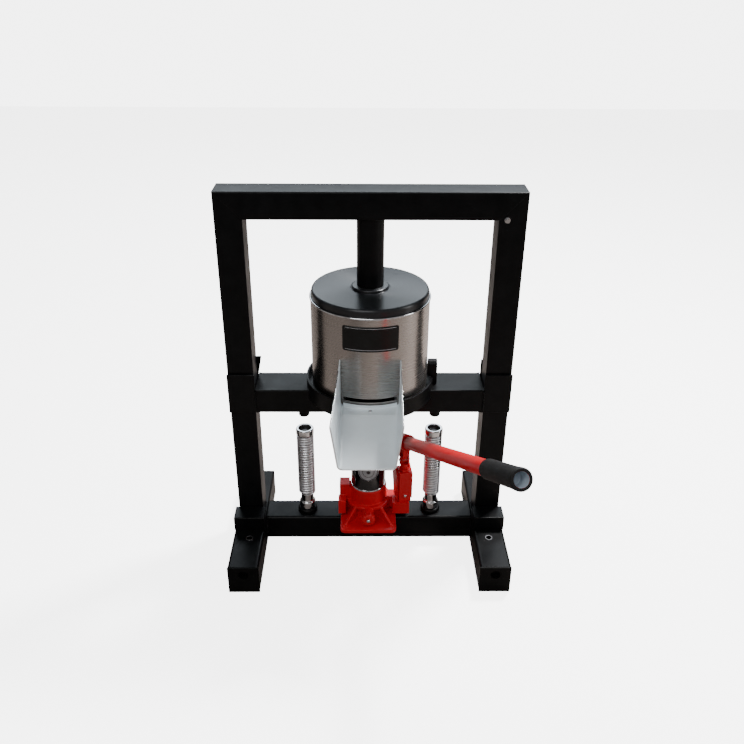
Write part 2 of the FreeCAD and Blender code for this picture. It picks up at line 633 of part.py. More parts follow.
def make_jack_base():
    """Cast base: plate, round boss with flange and collar, wings, valve boss, two ribs."""
    body = new_body("jack_base_plate", ("jack_x", "0", "foot"))
    sketch = sketch_on(body, "XY_Plane")
    outline(sketch, rectangle("-jack_base_half", "jack_base_half", "-jack_base_front", "jack_base_back"))
    pad(body, sketch, "jack_base_thick")
    fillet_where(body, "jack_base_round", lambda edge: runs_along(edge, Z))
    boss = turned("jack_boss_turned", [
        ("0", "foot + 1"), ("jack_boss", "foot + 1"), ("jack_boss", "jack_flange_z"),
        ("jack_flange", "jack_flange_z + 2"), ("jack_flange", "jack_flange_top - 1"),
        ("jack_flange - 1", "jack_flange_top"), ("jack_collar", "jack_flange_top"),
        ("jack_collar", "jack_collar_top - 2"), ("jack_collar - 1", "jack_collar_top"),
        ("0", "jack_collar_top")], ("jack_x", "0", "0"))
    wing_reach = "wing_front - wing_back + 1"
    left_wing = [
        box(("wing_outer - wing_clear", wing_reach, "wing_step - wing_low"),
            ("-wing_outer", "-wing_front", "wing_low")),
        box(("wing_outer - 2 - jack_collar - 2", "wing_depth", "wing_high - wing_low"),
            ("-wing_outer + 2", "-wing_back", "wing_low")),
        box(("wing_outer - 2 - jack_reach", "wing_depth", "jack_collar_top - 4 - wing_low"),
            ("-wing_outer + 2", "-wing_back", "wing_low"))]
    pump_foot = [
        box(("pump_x + 10 - wing_clear", "wing_front", "pump_foot_top - pump_low"),
            ("wing_clear", "-wing_front", "pump_low")),
        box(("pump_x + 8 - jack_reach", "wing_depth", "pump_foot_top - pump_low"),
            ("jack_reach", "-wing_back", "pump_low"))]
    valve_boss = rod("valve_boss", "valve_boss_front - 20", ("jack_x", "-20", "valve_z"), "-y")
    parts = [body, boss, *left_wing, *pump_foot, valve_boss]
    for turn in (-35, 35):
        rib = new_body(f"jack_rib_{'left' if turn < 0 else 'right'}", ("jack_x", "0", "foot"),
                       Rotation(Z, turn))
        sketch = sketch_on(rib, "YZ_Plane")
        outline(sketch, [("-(jack_boss - 4)", "3"), ("-(jack_boss - 4)", "jack_flange_top - foot - 3"),
                         ("-(jack_boss + 4)", "jack_flange_top - foot - 3"),
                         ("-rib_reach", "jack_base_thick + 3"), ("-rib_reach", "3")])
        pad(rib, sketch, "rib_thick", middle=True)
        parts.append(rib)
    bore = rod("barrel", "jack_collar_top", ("jack_x", "0", "barrel_floor"))
    stem_bore = rod("stem + running_fit", "20", ("jack_x", "-31", "valve_z"), "-y")
    plunger_bore = rod("plunger + running_fit", "pump_top", ("pump_x", "pump_y", "plunger_low - 12"))
    bolt_holes = [rod("4.2", "20", (f"jack_x + {side} * 40", "15", "foot - 1")) for side in (-1, 1)]
    node("jack_base", cut(group(*parts), bore, stem_bore, plunger_bore, *bolt_holes))


def ring(label, inner, outer, low, high, at=("jack_x", "0", "0"), turn=None):
    nodes.append(turned(label, [(inner, low), (outer, low), (outer, high), (inner, high)], at, turn))


make_jack_base()
ring("ram_barrel", "ram + running_fit", "barrel", "barrel_floor", "reservoir_top")
reservoir_can = turned("reservoir_can", [
    ("reservoir - reservoir_wall", "jack_collar_top"), ("reservoir", "jack_collar_top"),
    ("reservoir", "reservoir_top"), ("reservoir - reservoir_wall", "reservoir_top")], ("jack_x", "0", "0"))
node("reservoir", cut(reservoir_can, rod("filler - 1", "reservoir", ("jack_x", "reservoir + 10", "filler_z"),
                                         "-y")))
ring("reservoir_foot_ring", "reservoir", "foot_ring", "jack_collar_top",
     "jack_collar_top + foot_ring_height")


def make_top_nut():
    body = new_body("jack_top_nut", ("jack_x", "0", "reservoir_top"))
    sketch = sketch_on(body, "XY_Plane")
    outline(sketch, hexagon("nut_half + 3"))
    circle(sketch, "ram + running_fit")
    pad(body, sketch, "nut_top - reservoir_top")
    nodes.append(body)


def make_jack_bolts():
    """Two hex bolts that hold the jack on the base beam."""
    bolts = []
    for side in (-1, 1):
        body = new_body(f"jack_bolt_{'left' if side < 0 else 'right'}",
                        (f"jack_x + {side} * 40", "15", "foot + jack_base_thick"))
        head = sketch_on(body, "XY_Plane")
        outline(head, hexagon("jack_bolt"))
        pad(body, head, "5.3")
        shank = sketch_on(body, "XY_Plane")
        circle(shank, "4")
        pad(body, shank, "jack_base_thick", backwards=True)
        bolts.append(body)
    make_set("jack_bolts", bolts)


make_top_nut()
make_jack_bolts()
ring("ram_wiper", "ram + 0.35", "wiper", "nut_top", "nut_top + 3")
label_ring = cut(
    rod("reservoir + label_thick", "2 * label_radius", ("jack_x", "0", "label_z - label_radius")),
    rod("reservoir", "2 * label_radius + 2", ("jack_x", "0", "label_z - label_radius - 1")))
node("jack_label", common(label_ring, rod("label_radius", "60", ("jack_x", "0", "label_z"), "-y")))
nodes.append(turned("filler_plug", [
    ("0", "0"), ("filler - 1", "0"), ("filler - 1", "3.2"), ("filler", "3.2"), ("filler", "6"),
    ("0", "6.5")], ("jack_x", "reservoir - 3", "filler_z"), Rotation(X, -90)))

# jack's moving pieces
nodes.append(turned("ram", [
    ("0", "ram_low"), ("ram", "ram_low"), ("ram", "ram_low + piston_height"),
    ("ram - 1", "ram_low + piston_height + 1"), ("ram - 1", "ram_low + 2 * piston_height"),
    ("ram", "ram_low + 2 * piston_height + 1"), ("ram", "ram_top - 1"),
    ("ram - 1", "ram_top"), ("screw + running_fit", "ram_top"), ("screw + running_fit", "screw_bore_low"),
    ("0", "screw_bore_low")], ("jack_x", "0", "0")))
nodes.append(turned("extension_screw", [
    ("0", "screw_low"), ("screw - 1", "screw_low"), ("screw", "screw_low + 1"),
    ("screw", "platen_top - platen_height - saddle_height - 0.1"),
    ("saddle - 3", "platen_top - platen_height - saddle_height - 0.1"),
    ("saddle", "platen_top - platen_height - saddle_height + 3"),
    ("saddle", "platen_top - platen_height - 1"), ("saddle - 1", "platen_top - platen_height - 0.1"),
    ("saddle - 5", "platen_top - platen_height - 0.1"), ("saddle - 6", "platen_top - platen_height - 2"),
    ("0", "platen_top - platen_height - 2")], ("jack_x", "0", "0")))


def make_valve_knob():
    """Fluted knob on its stem, turned about the Y axis."""
    body = rod("knob", "knob_length", ("jack_x", "-valve_boss_front - 0.4", "valve_z"), "-y")
    flutes = []
    for step in range(12):
        turn = Rotation(Vector(0, 1, 0), 30 * step)
        flute = rod("1.8", "knob_length + 2", ("0", "1", "knob + 0.9"), "-y")
        flutes.append(moved(flute, ("jack_x", "-valve_boss_front - 0.4", "valve_z"), turn))
    stem = rod("stem", "17.5", ("jack_x", "-32", "valve_z"), "-y")
    screw_seat = rod("3.4", "3", ("jack_x", "-valve_boss_front - knob_length + 1.6", "valve_z"), "-y")
    node("valve_knob", group(cut(body, screw_seat, *flutes), stem))
    nodes.append(turned("valve_knob_screw", [
        ("0", "0"), ("3.2", "0"), ("3.2", "2.4"), ("2.2", "3.2"), ("0", "3.4")],
        ("jack_x", "-valve_boss_front - knob_length + 1.6", "valve_z"), TURNS["-y"]))


make_valve_knob()


# ---- pump and handle -----------------------------------------------------------------------------

PUMP_ROTATION = Rotation(Z, PUMP_TURN)
HANDLE_ROTATION = PUMP_ROTATION.multiply(Rotation(X, -HANDLE_RISE))
AT_PLUNGER = ("pump_x", "pump_y", "0")


def at_pivot():
    """World position of the fulcrum, one arm behind the plunger in the turned frame."""
    back = PUMP_ROTATION.multVec(Vector(0, 1, 0))
    return (f"pump_x + {back.x:.6f} * arm", f"pump_y + {back.y:.6f} * arm", "pivot_z")


def make_pump_block():
    """Pump cylinder block on the pump foot, bored for the plunger."""
    block = box(("2 * pump_half", "pump_front + pump_back", "pump_top - pump_foot_top"),
                ("-pump_half", "-pump_front", "pump_foot_top"))
    rivet = rod("link_rivet", "3", ("0", "-pump_front + 1.4", "pump_foot_top + 13"), "-y")
    bore = rod("plunger + running_fit", "pump_top", ("0", "0", "pump_low"))
    node("pump_block", moved(cut(group(block, rivet), bore), AT_PLUNGER, PUMP_ROTATION))


def make_gland():
    body = new_body("pump_gland", ("pump_x", "pump_y", "pump_top"), PUMP_ROTATION)
    sketch = sketch_on(body, "XY_Plane")
    outline(sketch, hexagon("gland"))
    circle(sketch, "plunger + running_fit")
    pad(body, sketch, "gland_height")
    nodes.append(body)


def fulcrum_link(side):
    """Flat link from the side of the pump block up to the fulcrum pin, with its rivet."""
    name = "left" if side < 0 else "right"
    body = new_body(f"link_sheet_{name}")
    sketch = sketch_on(body, "YZ_Plane")
    outline(sketch, [("-pump_front + 3", "pump_foot_top + 4"), ("pump_back - 1", "pump_foot_top + 4"),
                     ("arm + link_end", "pivot_z - 12"), ("arm + link_end", "pivot_z"),
                     ("arm - link_end", "pivot_z"), ("arm - link_end", "pivot_z - 14"),
                     ("-pump_front + 3", "pump_top - 6")])
    pad(body, sketch, "link_thick", middle=True)
    head = rod("link_end", "link_thick", ("-link_thick / 2", "arm", "pivot_z"), "x")
    rivet = rod("link_rivet", "link_thick + 3", ("-(link_thick + 3) / 2", "2", "pump_foot_top + 12"), "x")
    pin_hole = rod("pivot_pin", "link_thick + 2", ("-link_thick / 2 - 1", "arm", "pivot_z"), "x")
    face = box(("4", "80", "80"), (f"-{side} * (link_thick / 2 + 2) - 2", "-40", "pump_foot_top"))
    link = cut(group(body, head, rivet), pin_hole, face)
    return moved(link, (f"{side} * (pump_half + link_thick / 2)", "0", "0"), Rotation())


def make_fulcrum_links():
    both = group(fulcrum_link(-1), fulcrum_link(1))
    node("fulcrum_links", moved(both, AT_PLUNGER, PUMP_ROTATION))


def make_plunger():
    """Plunger with a slotted head that takes the link pin."""
    shaft = rod("plunger", "fork_low + 1 - plunger_low", ("0", "0", "plunger_low"))
    head = rod("fork", "fork_top - fork_low", ("0", "0", "fork_low"))
    slot = box(("2 * fork_slot", "40", "fork_top"), ("-fork_slot", "-20", "fork_low + 2"))
    hole = rod("link_pin", "40", ("-20", "0", "pivot_z"), "x")
    node("pump_plunger", moved(cut(group(shaft, head), slot, hole), AT_PLUNGER, PUMP_ROTATION))
    node("link_pin", moved(rod("link_pin", "2 * fork + 2", ("-fork - 1", "0", "pivot_z"), "x"),
                           AT_PLUNGER, PUMP_ROTATION))


def make_socket():
    """Handle socket with a pivot boss behind and a slotted web for the link pin."""
    tube = rod("socket", "socket_front + socket_back", ("0", "socket_back", "socket_rise"), "-y")
    bore = rod("handle + running_fit", "socket_front + 10", ("0", "-handle_start + 0.5", "socket_rise"), "-y")
    boss = rod("boss_radius", "2 * (pump_half - 0.4)", ("-(pump_half - 0.4)", "0", "0"), "x")
    body = new_body("socket_web")
    sketch = sketch_on(body, "YZ_Plane")
    outline(sketch, [("-boss_radius + 3", "-4"), ("boss_radius - 1.5", "0"),
                     ("boss_radius - 1.5", "socket_rise - 8"), ("-34", "socket_rise - 8"),
                     ("-web_reach_y - 7", "-web_reach_z + 1"), ("-web_reach_y - 2", "-web_reach_z - 3")])
    pad(body, sketch, "2 * web_half", middle=True)
    eye = moved(rod("web_eye", "2 * web_half", ("-web_half", "-arm", "0"), "x"), ("0", "0", "0"),
                Rotation(X, HANDLE_RISE))
    pin_hole = rod("pivot_pin + running_fit", "60", ("-30", "0", "0"), "x")
    level = Rotation(X, HANDLE_RISE)
    slot = box(("30", "link_pin * 2 + 3.6", "link_pin * 2 + 1.4"),
               ("-15", "-arm - link_pin - 2.6", "-link_pin - 0.7"))
    tilted = moved(slot, ("0", "0", "0"), level)
    node("handle_socket", moved(cut(group(tube, boss, body, eye), bore, pin_hole, tilted), at_pivot(),
                                HANDLE_ROTATION))


make_pump_block()
make_gland()
make_fulcrum_links()
make_plunger()
make_socket()
node("fulcrum_pin", moved(rod("pivot_pin", "2 * (pump_half + link_thick) + 3",
                              ("-pump_half - link_thick - 1.5", "0", "0"), "x"),
                          at_pivot(), PUMP_ROTATION))
handle_tube = cut(rod("handle", "handle_length", ("0", "-handle_start", "socket_rise"), "-y"),
                  rod("handle - handle_wall", "handle_length + 2", ("0", "-handle_start + 1", "socket_rise"),
                      "-y"))
node("pump_handle", moved(handle_tube, at_pivot(), HANDLE_ROTATION))
grip_sleeve = cut(rod("grip", "grip_length", ("0", "-handle_start - handle_length + grip_length",
                                              "socket_rise"), "-y"),
                  rod("handle", "grip_length + 2", ("0", "-handle_start - handle_length + grip_length + 1",
                                                    "socket_rise"), "-y"))
node("handle_grip", moved(grip_sleeve, at_pivot(), HANDLE_ROTATION))


# ---- check and export ----------------------------------------------------------------------------

doc.recompute()
problems = []
for obj in doc.Objects:
    if any(word in str(state) for state in obj.State for word in ("Invalid", "Error")):
        problems.append(f"{obj.Label}: {obj.State}")
for obj in nodes:
    shape = obj.Shape
    if shape.isNull() or not shape.isValid() or not shape.Solids:
        problems.append(f"{obj.Label}: null, invalid or without a solid")
        continue
    shape.exportStep(f"parts/{obj.Label}.step")
if problems:
    raise SystemExit("\n".join(problems))
print(len(nodes), "nodes")
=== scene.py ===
"""Looks of the cheese press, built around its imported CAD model. Metres, in the row frame."""

import json
import math

import bmesh
import bpy
from mathutils import Matrix, Vector


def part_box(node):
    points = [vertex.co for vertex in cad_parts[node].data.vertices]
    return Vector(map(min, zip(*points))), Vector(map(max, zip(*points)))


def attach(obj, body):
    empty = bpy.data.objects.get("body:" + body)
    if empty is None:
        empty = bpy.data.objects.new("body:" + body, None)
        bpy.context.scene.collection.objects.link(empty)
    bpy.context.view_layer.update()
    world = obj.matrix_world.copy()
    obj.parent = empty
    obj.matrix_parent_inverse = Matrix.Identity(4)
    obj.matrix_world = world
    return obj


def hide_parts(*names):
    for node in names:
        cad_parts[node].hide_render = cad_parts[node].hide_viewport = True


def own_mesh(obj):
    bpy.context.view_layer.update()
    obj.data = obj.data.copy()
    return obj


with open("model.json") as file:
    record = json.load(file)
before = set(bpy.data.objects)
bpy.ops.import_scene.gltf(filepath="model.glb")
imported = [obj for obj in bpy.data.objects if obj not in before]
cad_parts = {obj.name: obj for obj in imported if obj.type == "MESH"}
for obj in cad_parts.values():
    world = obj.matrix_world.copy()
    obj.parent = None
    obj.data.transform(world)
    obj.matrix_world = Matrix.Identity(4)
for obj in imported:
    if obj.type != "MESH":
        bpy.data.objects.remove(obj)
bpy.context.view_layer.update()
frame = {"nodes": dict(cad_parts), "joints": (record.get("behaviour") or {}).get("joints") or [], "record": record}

MM = 0.001
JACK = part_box("reservoir")
JACK_X = (JACK[0].x + JACK[1].x) / 2
TURN = math.radians(13.1)       # pump and handle about Z, as in the CAD
RISE = math.radians(28.1)       # handle above the horizontal


# ---- materials -----------------------------------------------------------------------------------

def new_material(name, color, metallic, roughness, **sockets):
    """Principled material; returns it with its node tree and shader."""
    made = bpy.data.materials.new(name)
    made.use_nodes = True
    shader = made.node_tree.nodes["Principled BSDF"]
    shader.inputs["Base Color"].default_value = (*color, 1)
    shader.inputs["Metallic"].default_value = metallic
    shader.inputs["Roughness"].default_value = roughness
    for key, value in sockets.items():
        shader.inputs[key.replace("_", " ")].default_value = value
    made.diffuse_color = (*color, 1)
    return made, made.node_tree, shader


def noise(tree, scale, detail=3.0, stretch=(1, 1, 1)):
    """Noise over the piece's own coordinates, in cells per metre."""
    coords = tree.nodes.new("ShaderNodeTexCoord")
    mapping = tree.nodes.new("ShaderNodeMapping")
    mapping.inputs["Scale"].default_value = stretch
    texture = tree.nodes.new("ShaderNodeTexNoise")
    texture.inputs["Scale"].default_value = scale
    texture.inputs["Detail"].default_value = detail
    tree.links.new(coords.outputs["Object"], mapping.inputs["Vector"])
    tree.links.new(mapping.outputs["Vector"], texture.inputs["Vector"])
    return texture.outputs["Fac"]


def spread(tree, value, low, high):
    """The 0.3 to 0.7 part of a noise value, stretched to low..high."""
    node = tree.nodes.new("ShaderNodeMapRange")
    node.inputs["From Min"].default_value = 0.3
    node.inputs["From Max"].default_value = 0.7
    node.inputs["To Min"].default_value = low
    node.inputs["To Max"].default_value = high
    tree.links.new(value, node.inputs["Value"])
    return node.outputs["Result"]


def bumped(tree, shader, height, depth, strength=1.0):
    node = tree.nodes.new("ShaderNodeBump")
    node.inputs["Distance"].default_value = depth
    node.inputs["Strength"].default_value = strength
    tree.links.new(height, node.inputs["Height"])
    tree.links.new(node.outputs["Normal"], shader.inputs["Normal"])


def two_tone(tree, shader, value, first, second):
    node = tree.nodes.new("ShaderNodeMix")
    node.data_type = "RGBA"
    colors = [socket for socket in node.inputs if socket.type == "RGBA"]
    colors[0].default_value = (*first, 1)
    colors[1].default_value = (*second, 1)
    tree.links.new(value, node.inputs[0])
    output = [socket for socket in node.outputs if socket.type == "RGBA"][0]
    tree.links.new(output, shader.inputs["Base Color"])
    return output


def coated(name, color, rough, peel=420, depth=0.00006, dust=0.35, **sockets):
    """Paint or powder coat: orange peel, uneven gloss and a little dust."""
    made, tree, shader = new_material(name, color, 0, rough, **sockets)
    cloud = noise(tree, 18, 5)
    tree.links.new(spread(tree, cloud, rough * 0.85, rough * 1.2), shader.inputs["Roughness"])
    pale = tuple(min(1, c * (1 + dust) + 0.002) for c in color)
    two_tone(tree, shader, spread(tree, noise(tree, 60, 6), 0, 1), color, pale)
    bumped(tree, shader, noise(tree, peel, 2), depth, 0.5)
    return made


def turned_metal(name, color, rough, grain, anisotropy=0.6, painted_streak_dark=0.82, **sockets):
    """Metal with fine grooves that run round the Z axis, so that its highlights lie across them; its colour also
    carries painted reflection streaks, vertical bands of darker colour.
    """
    made, tree, shader = new_material(name, color, 1, rough, **sockets)
    tangent = tree.nodes.new("ShaderNodeTangent")
    tangent.direction_type = "RADIAL"
    tangent.axis = "Z"
    tree.links.new(tangent.outputs["Tangent"], shader.inputs["Tangent"])
    shader.inputs["Anisotropic"].default_value = anisotropy
    shader.inputs["Anisotropic Rotation"].default_value = 0.25
    lines = noise(tree, 1, 2, grain)
    tree.links.new(spread(tree, lines, rough * 0.96, rough * 1.06), shader.inputs["Roughness"])
    # Painted reflection streaks: bands stretched up and down, darker in colour.
    bands = noise(tree, 1, 1.5, (17, 17, 0.4))
    two_tone(tree, shader, spread(tree, bands, 0, 1), tuple(c * painted_streak_dark for c in color), color)
    return made


def polished(name, color, rough, smear=30):
    made, tree, shader = new_material(name, color, 1, rough)
    tree.links.new(spread(tree, noise(tree, smear, 5), rough * 0.6, rough * 1.7), shader.inputs["Roughness"])
    two_tone(tree, shader, spread(tree, noise(tree, 90, 4), 0, 1), tuple(c * 0.86 for c in color), color)
    return made


def concentric(name, color, rough):
    """Black plate turned on a lathe: fine rings about Z."""
    made, tree, shader = new_material(name, color, 0.35, rough, Coat_Weight=0.12, Coat_Roughness=0.25)
    coords = tree.nodes.new("ShaderNodeTexCoord")
    flat = tree.nodes.new("ShaderNodeVectorMath")
    flat.operation = "MULTIPLY"
    flat.inputs[1].default_value = (1, 1, 0)
    radius = tree.nodes.new("ShaderNodeVectorMath")
    radius.operation = "LENGTH"
    rings = tree.nodes.new("ShaderNodeTexNoise")
    rings.noise_dimensions = "1D"
    rings.inputs["Scale"].default_value = 900
    tree.links.new(coords.outputs["Object"], flat.inputs[0])
    tree.links.new(flat.outputs["Vector"], radius.inputs[0])
    tree.links.new(radius.outputs["Value"], rings.inputs["W"])
    tangent = tree.nodes.new("ShaderNodeTangent")
    tangent.direction_type = "RADIAL"
    tangent.axis = "Z"
    tree.links.new(tangent.outputs["Tangent"], shader.inputs["Tangent"])
    shader.inputs["Anisotropic"].default_value = 0.75
    shader.inputs["Anisotropic Rotation"].default_value = 0.25
    two_tone(tree, shader, spread(tree, rings.outputs["Fac"], 0, 1), color, tuple(c * 1.6 for c in color))
    bumped(tree, shader, rings.outputs["Fac"], 0.00002, 0.4)
    return made


BLACK = coated("powder_black", (0.0009, 0.0010, 0.0014), 0.36, Specular_IOR_Level=0.14)
PLUG = coated("plug_black", (0.0012, 0.0012, 0.0012), 0.55, peel=900, depth=0.0001, Specular_IOR_Level=0.1)
PLATE = concentric("plate_black", (0.010, 0.011, 0.013), 0.34)
RED = coated("jack_red", (0.60, 0.010, 0.017), 0.36, peel=500, depth=0.00005, dust=0.06, Coat_Weight=0.14,
             Coat_Roughness=0.08, Specular_IOR_Level=0.12)
CAST_RED = coated("cast_red", (0.56, 0.010, 0.017), 0.42, peel=330, depth=0.00018, dust=0.08,
                  Coat_Weight=0.12, Coat_Roughness=0.15, Specular_IOR_Level=0.12)
GLOSS = coated("reservoir_black", (0.004, 0.004, 0.005), 0.10, peel=200, depth=0.00003, Coat_Weight=0.6)
# Its strong vertical bands are painted reflection streaks down the cylinder.
STEEL = turned_metal("brushed_stainless", (0.56, 0.525, 0.50), 0.27, (9, 9, 1800), painted_streak_dark=0.45)
SATIN = turned_metal("drain_steel", (0.62, 0.62, 0.62), 0.3, (40, 40, 40), anisotropy=0.2)
CHROME = polished("chrome", (0.74, 0.75, 0.77), 0.07)
WIRE = polished("spring_wire", (0.84, 0.85, 0.88), 0.3)
# The spout's pale bluish white is the steel's own pale tone with a painted reflection of the bright studio.
SHEET = coated("spout_sheet", (0.78, 0.86, 0.90), 0.34, peel=700, depth=0.00003, dust=0.05, Metallic=0.12,
               Coat_Weight=0.2, Coat_Roughness=0.25)
EDGE = polished("spout_edge", (0.88, 0.90, 0.92), 0.24)
RUBBER = coated("grip_rubber", (0.0035, 0.0035, 0.004), 0.62, peel=1400, depth=0.0002, dust=0.6,
                Specular_IOR_Level=0.3)
FILM = coated("name_film", (0.0025, 0.003, 0.003), 0.3, peel=120, depth=0.00003, Specular_IOR_Level=0.25)
SILVER = coated("label_silver", (0.36, 0.37, 0.39), 0.35, peel=300, depth=0.00003, dust=0.15)
# Black ink for the badge print; it also lines the spring caps' recesses as painted shade.
INK_AND_SHADE = coated("ink_and_painted_shade", (0.02, 0.02, 0.02), 0.4, peel=300, depth=0.00002)
# Dark brown ring under each spring cap: painted shadow in the gap between cap and coil.
CAP_GAP_SHADE = polished("cap_gap_shade", (0.32, 0.17, 0.10), 0.3)
BORE = coated("bare_tube", (0.40, 0.46, 0.52), 0.5, peel=600, depth=0.00003)
WORN = polished("worn_rim", (0.16, 0.16, 0.17), 0.4)


# ---- mesh helpers --------------------------------------------------------------------------------

def add_object(name, mesh, material, body, replaces=()):
    obj = bpy.data.objects.new(name, mesh)
    bpy.context.scene.collection.objects.link(obj)
    mesh.materials.clear()
    mesh.materials.append(material)
    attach(obj, body)
    if replaces:
        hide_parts(*replaces)
    return obj


def mesh_from(name, points, faces, angle=35):
    mesh = bpy.data.meshes.new(name)
    mesh.from_pydata([tuple(p) for p in points], [], faces)
    mesh.validate()
    work = bmesh.new()
    work.from_mesh(mesh)
    bmesh.ops.remove_doubles(work, verts=work.verts, dist=0.000002)
    bmesh.ops.recalc_face_normals(work, faces=work.faces)
    work.to_mesh(mesh)
    work.free()
    mesh.shade_smooth()
    mesh.set_sharp_from_angle(angle=math.radians(angle))
    return mesh


def rounded(points, radius, steps=4):
    """Profile with each inner corner replaced by a small arc; radius may be one value per corner."""
    out = [points[0]]
    for i in range(1, len(points) - 1):
        here = Vector(points[i])
        before, after = Vector(points[i - 1]) - here, Vector(points[i + 1]) - here
        asked = radius[i] if isinstance(radius, (list, tuple)) else radius
        reach = min(asked, before.length * 0.45, after.length * 0.45)
        if reach < 0.01:
            out.append(tuple(here))
            continue
        first, last = here + before.normalized() * reach, here + after.normalized() * reach
        for step in range(steps + 1):
            t = step / steps
            out.append(tuple(first * (1 - t) ** 2 + here * 2 * t * (1 - t) + last * t * t))
    out.append(points[-1])
    return out


def lathe_mesh(name, profile, segments=128, arc=(0, 360), matrix=None, wobble=None):
    """Profile of (radius, height) in mm turned about Z, as a mesh in metres."""
    full = arc[1] - arc[0] == 360
    count = segments if full else segments + 1
    points = []
    for step in range(count):
        angle = math.radians(arc[0] + (arc[1] - arc[0]) * step / segments)
        for radius, height in profile:
            reach = radius * (wobble(angle, height) if wobble else 1)
            points.append(Vector((reach * math.cos(angle), reach * math.sin(angle), height)) * MM)
    if matrix:
        points = [matrix @ p for p in points]
    rows = len(profile)
    faces = []
    for step in range(segments):
        left, right = step * rows, ((step + 1) % count) * rows
        for row in range(rows - 1):
            faces.append((left + row, right + row, right + row + 1, left + row + 1))
    return mesh_from(name, points, faces)


def lathe(name, profile, centre, material, body, slot, replaces=(), **options):
    matrix = options.pop("matrix", None) or Matrix.Translation((centre[0], centre[1], 0))
    mesh = lathe_mesh(name, profile, matrix=matrix, **options)
    return add_object(name, mesh, material, body, replaces)


def swept_mesh(name, path, radius, sides=16, closed=False, profile=None):
    """Round tube along a list of points; profile(i) scales the radius along it."""
    points, faces = [], []
    side = None
    for i, here in enumerate(path):
        ahead = path[min(i + 1, len(path) - 1)] - path[max(i - 1, 0)]
        ahead.normalize()
        if side is None:
            side = ahead.orthogonal().normalized()
        side = (side - ahead * side.dot(ahead)).normalized()
        other = ahead.cross(side)
        reach = radius * (profile(i) if profile else 1)
        for k in range(sides):
            angle = 2 * math.pi * k / sides
            points.append(here + (side * math.cos(angle) + other * math.sin(angle)) * reach)
    for i in range(len(path) - 1):
        for k in range(sides):
            after = (k + 1) % sides
            faces.append((i * sides + k, i * sides + after, (i + 1) * sides + after, (i + 1) * sides + k))
    faces.append(tuple(range(sides)))
    faces.append(tuple((len(path) - 1) * sides + k for k in range(sides)))
    return mesh_from(name, points, faces, 50)


def modifier(obj, kind, **settings):
    made = obj.modifiers.new(kind.lower(), kind)
    for key, value in settings.items():
        setattr(made, key, value)
    return made


def dress(node, material, bevel=0.6):
    """Give a CAD node its finish and softened edges."""
    obj = frame["nodes"][node]
    obj.data.materials.clear()
    obj.data.materials.append(material)
    if "custom_normal" in obj.data.attributes:
        obj.data.attributes.remove(obj.data.attributes["custom_normal"])
    obj.data.shade_smooth()
    modifier(obj, "WELD", merge_threshold=0.00001)
    modifier(obj, "BEVEL", width=bevel * MM, segments=3, limit_method="ANGLE",
             angle_limit=math.radians(32), harden_normals=True, use_clamp_overlap=True)


def cast_from(node, name, voxel, rounds, material, body):
    """Cast piece: the CAD node's shape with its edges and corners rounded as in a mould."""
    source = frame["nodes"][node]
    obj = add_object(name, source.data.copy(), material, body, (node,))
    obj.modifiers.clear()
    if "custom_normal" in obj.data.attributes:
        obj.data.attributes.remove(obj.data.attributes["custom_normal"])
    modifier(obj, "WELD", merge_threshold=0.00001)
    modifier(obj, "REMESH", mode="VOXEL", voxel_size=voxel * MM, use_smooth_shade=True)
    modifier(obj, "SMOOTH", factor=0.5, iterations=rounds)
    graph = bpy.context.evaluated_depsgraph_get()
    finished = bpy.data.meshes.new_from_object(obj.evaluated_get(graph))
    obj.modifiers.clear()
    obj.data = finished
    finished.materials.clear()
    finished.materials.append(material)
    finished.shade_smooth()
    return obj


def clear_bore(obj, centre, radius, low, high):
    """Open a bore that the moulding softened, so that its shaft runs free. Sizes in metres."""
    for vertex in obj.data.vertices:
        across = Vector((vertex.co.x - centre.x, vertex.co.y - centre.y))
        if low < vertex.co.z < high and 0 < across.length < radius:
            across *= radius / across.length
            vertex.co.x, vertex.co.y = centre.x + across.x, centre.y + across.y


def bead(name, start, end, radius, body, material=None, pitch=1.1):
    """Weld bead of overlapping ripples between two points, in mm."""
    first, last = Vector(start) * MM, Vector(end) * MM
    count = max(6, int((last - first).length / (pitch * MM) * 4))
    path = [first.lerp(last, i / count) for i in range(count + 1)]

    def ripple(i):
        return 0.86 + 0.14 * abs(math.sin(i * math.pi / 4)) + 0.05 * math.sin(i * 1.7)

    mesh = swept_mesh(name, path, radius * MM, sides=10, profile=ripple)
    return add_object(name, mesh, material or BLACK, body)


def middle(node):
    low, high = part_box(node)
    return (low + high) / 2


# ---- frame ---------------------------------------------------------------------------------------

CAD_PIECES = {
    "top_beam": 0.3, "left_upright": 0.3, "right_upright": 0.3, "base_beam": 0.3, "left_foot": 0.3,
    "right_foot": 0.3, "left_foot_bracket": 0.3, "right_foot_bracket": 0.3,
    "platen_beam": 0.3, "left_front_guide": 0.8, "right_front_guide": 0.8, "left_back_guide": 0.8,
    "right_back_guide": 0.8, "side_lug": 1.5, "drip_tray": 0.6,
}
for name, soft in CAD_PIECES.items():
    dress(name, BLACK, soft)
dress("foot_plugs", PLUG, 0.6)
dress("corner_bolt", CHROME, 0.5)
dress("jack_bolts", CHROME, 0.5)
dress("plate_screw", CHROME, 0.5)
dress("link_pin", CHROME, 0.4)
dress("fulcrum_pin", CHROME, 0.4)
dress("drain_plate", SATIN, 0.2)
dress("pump_gland", RED, 0.6)
dress("jack_top_nut", GLOSS, 0.8)


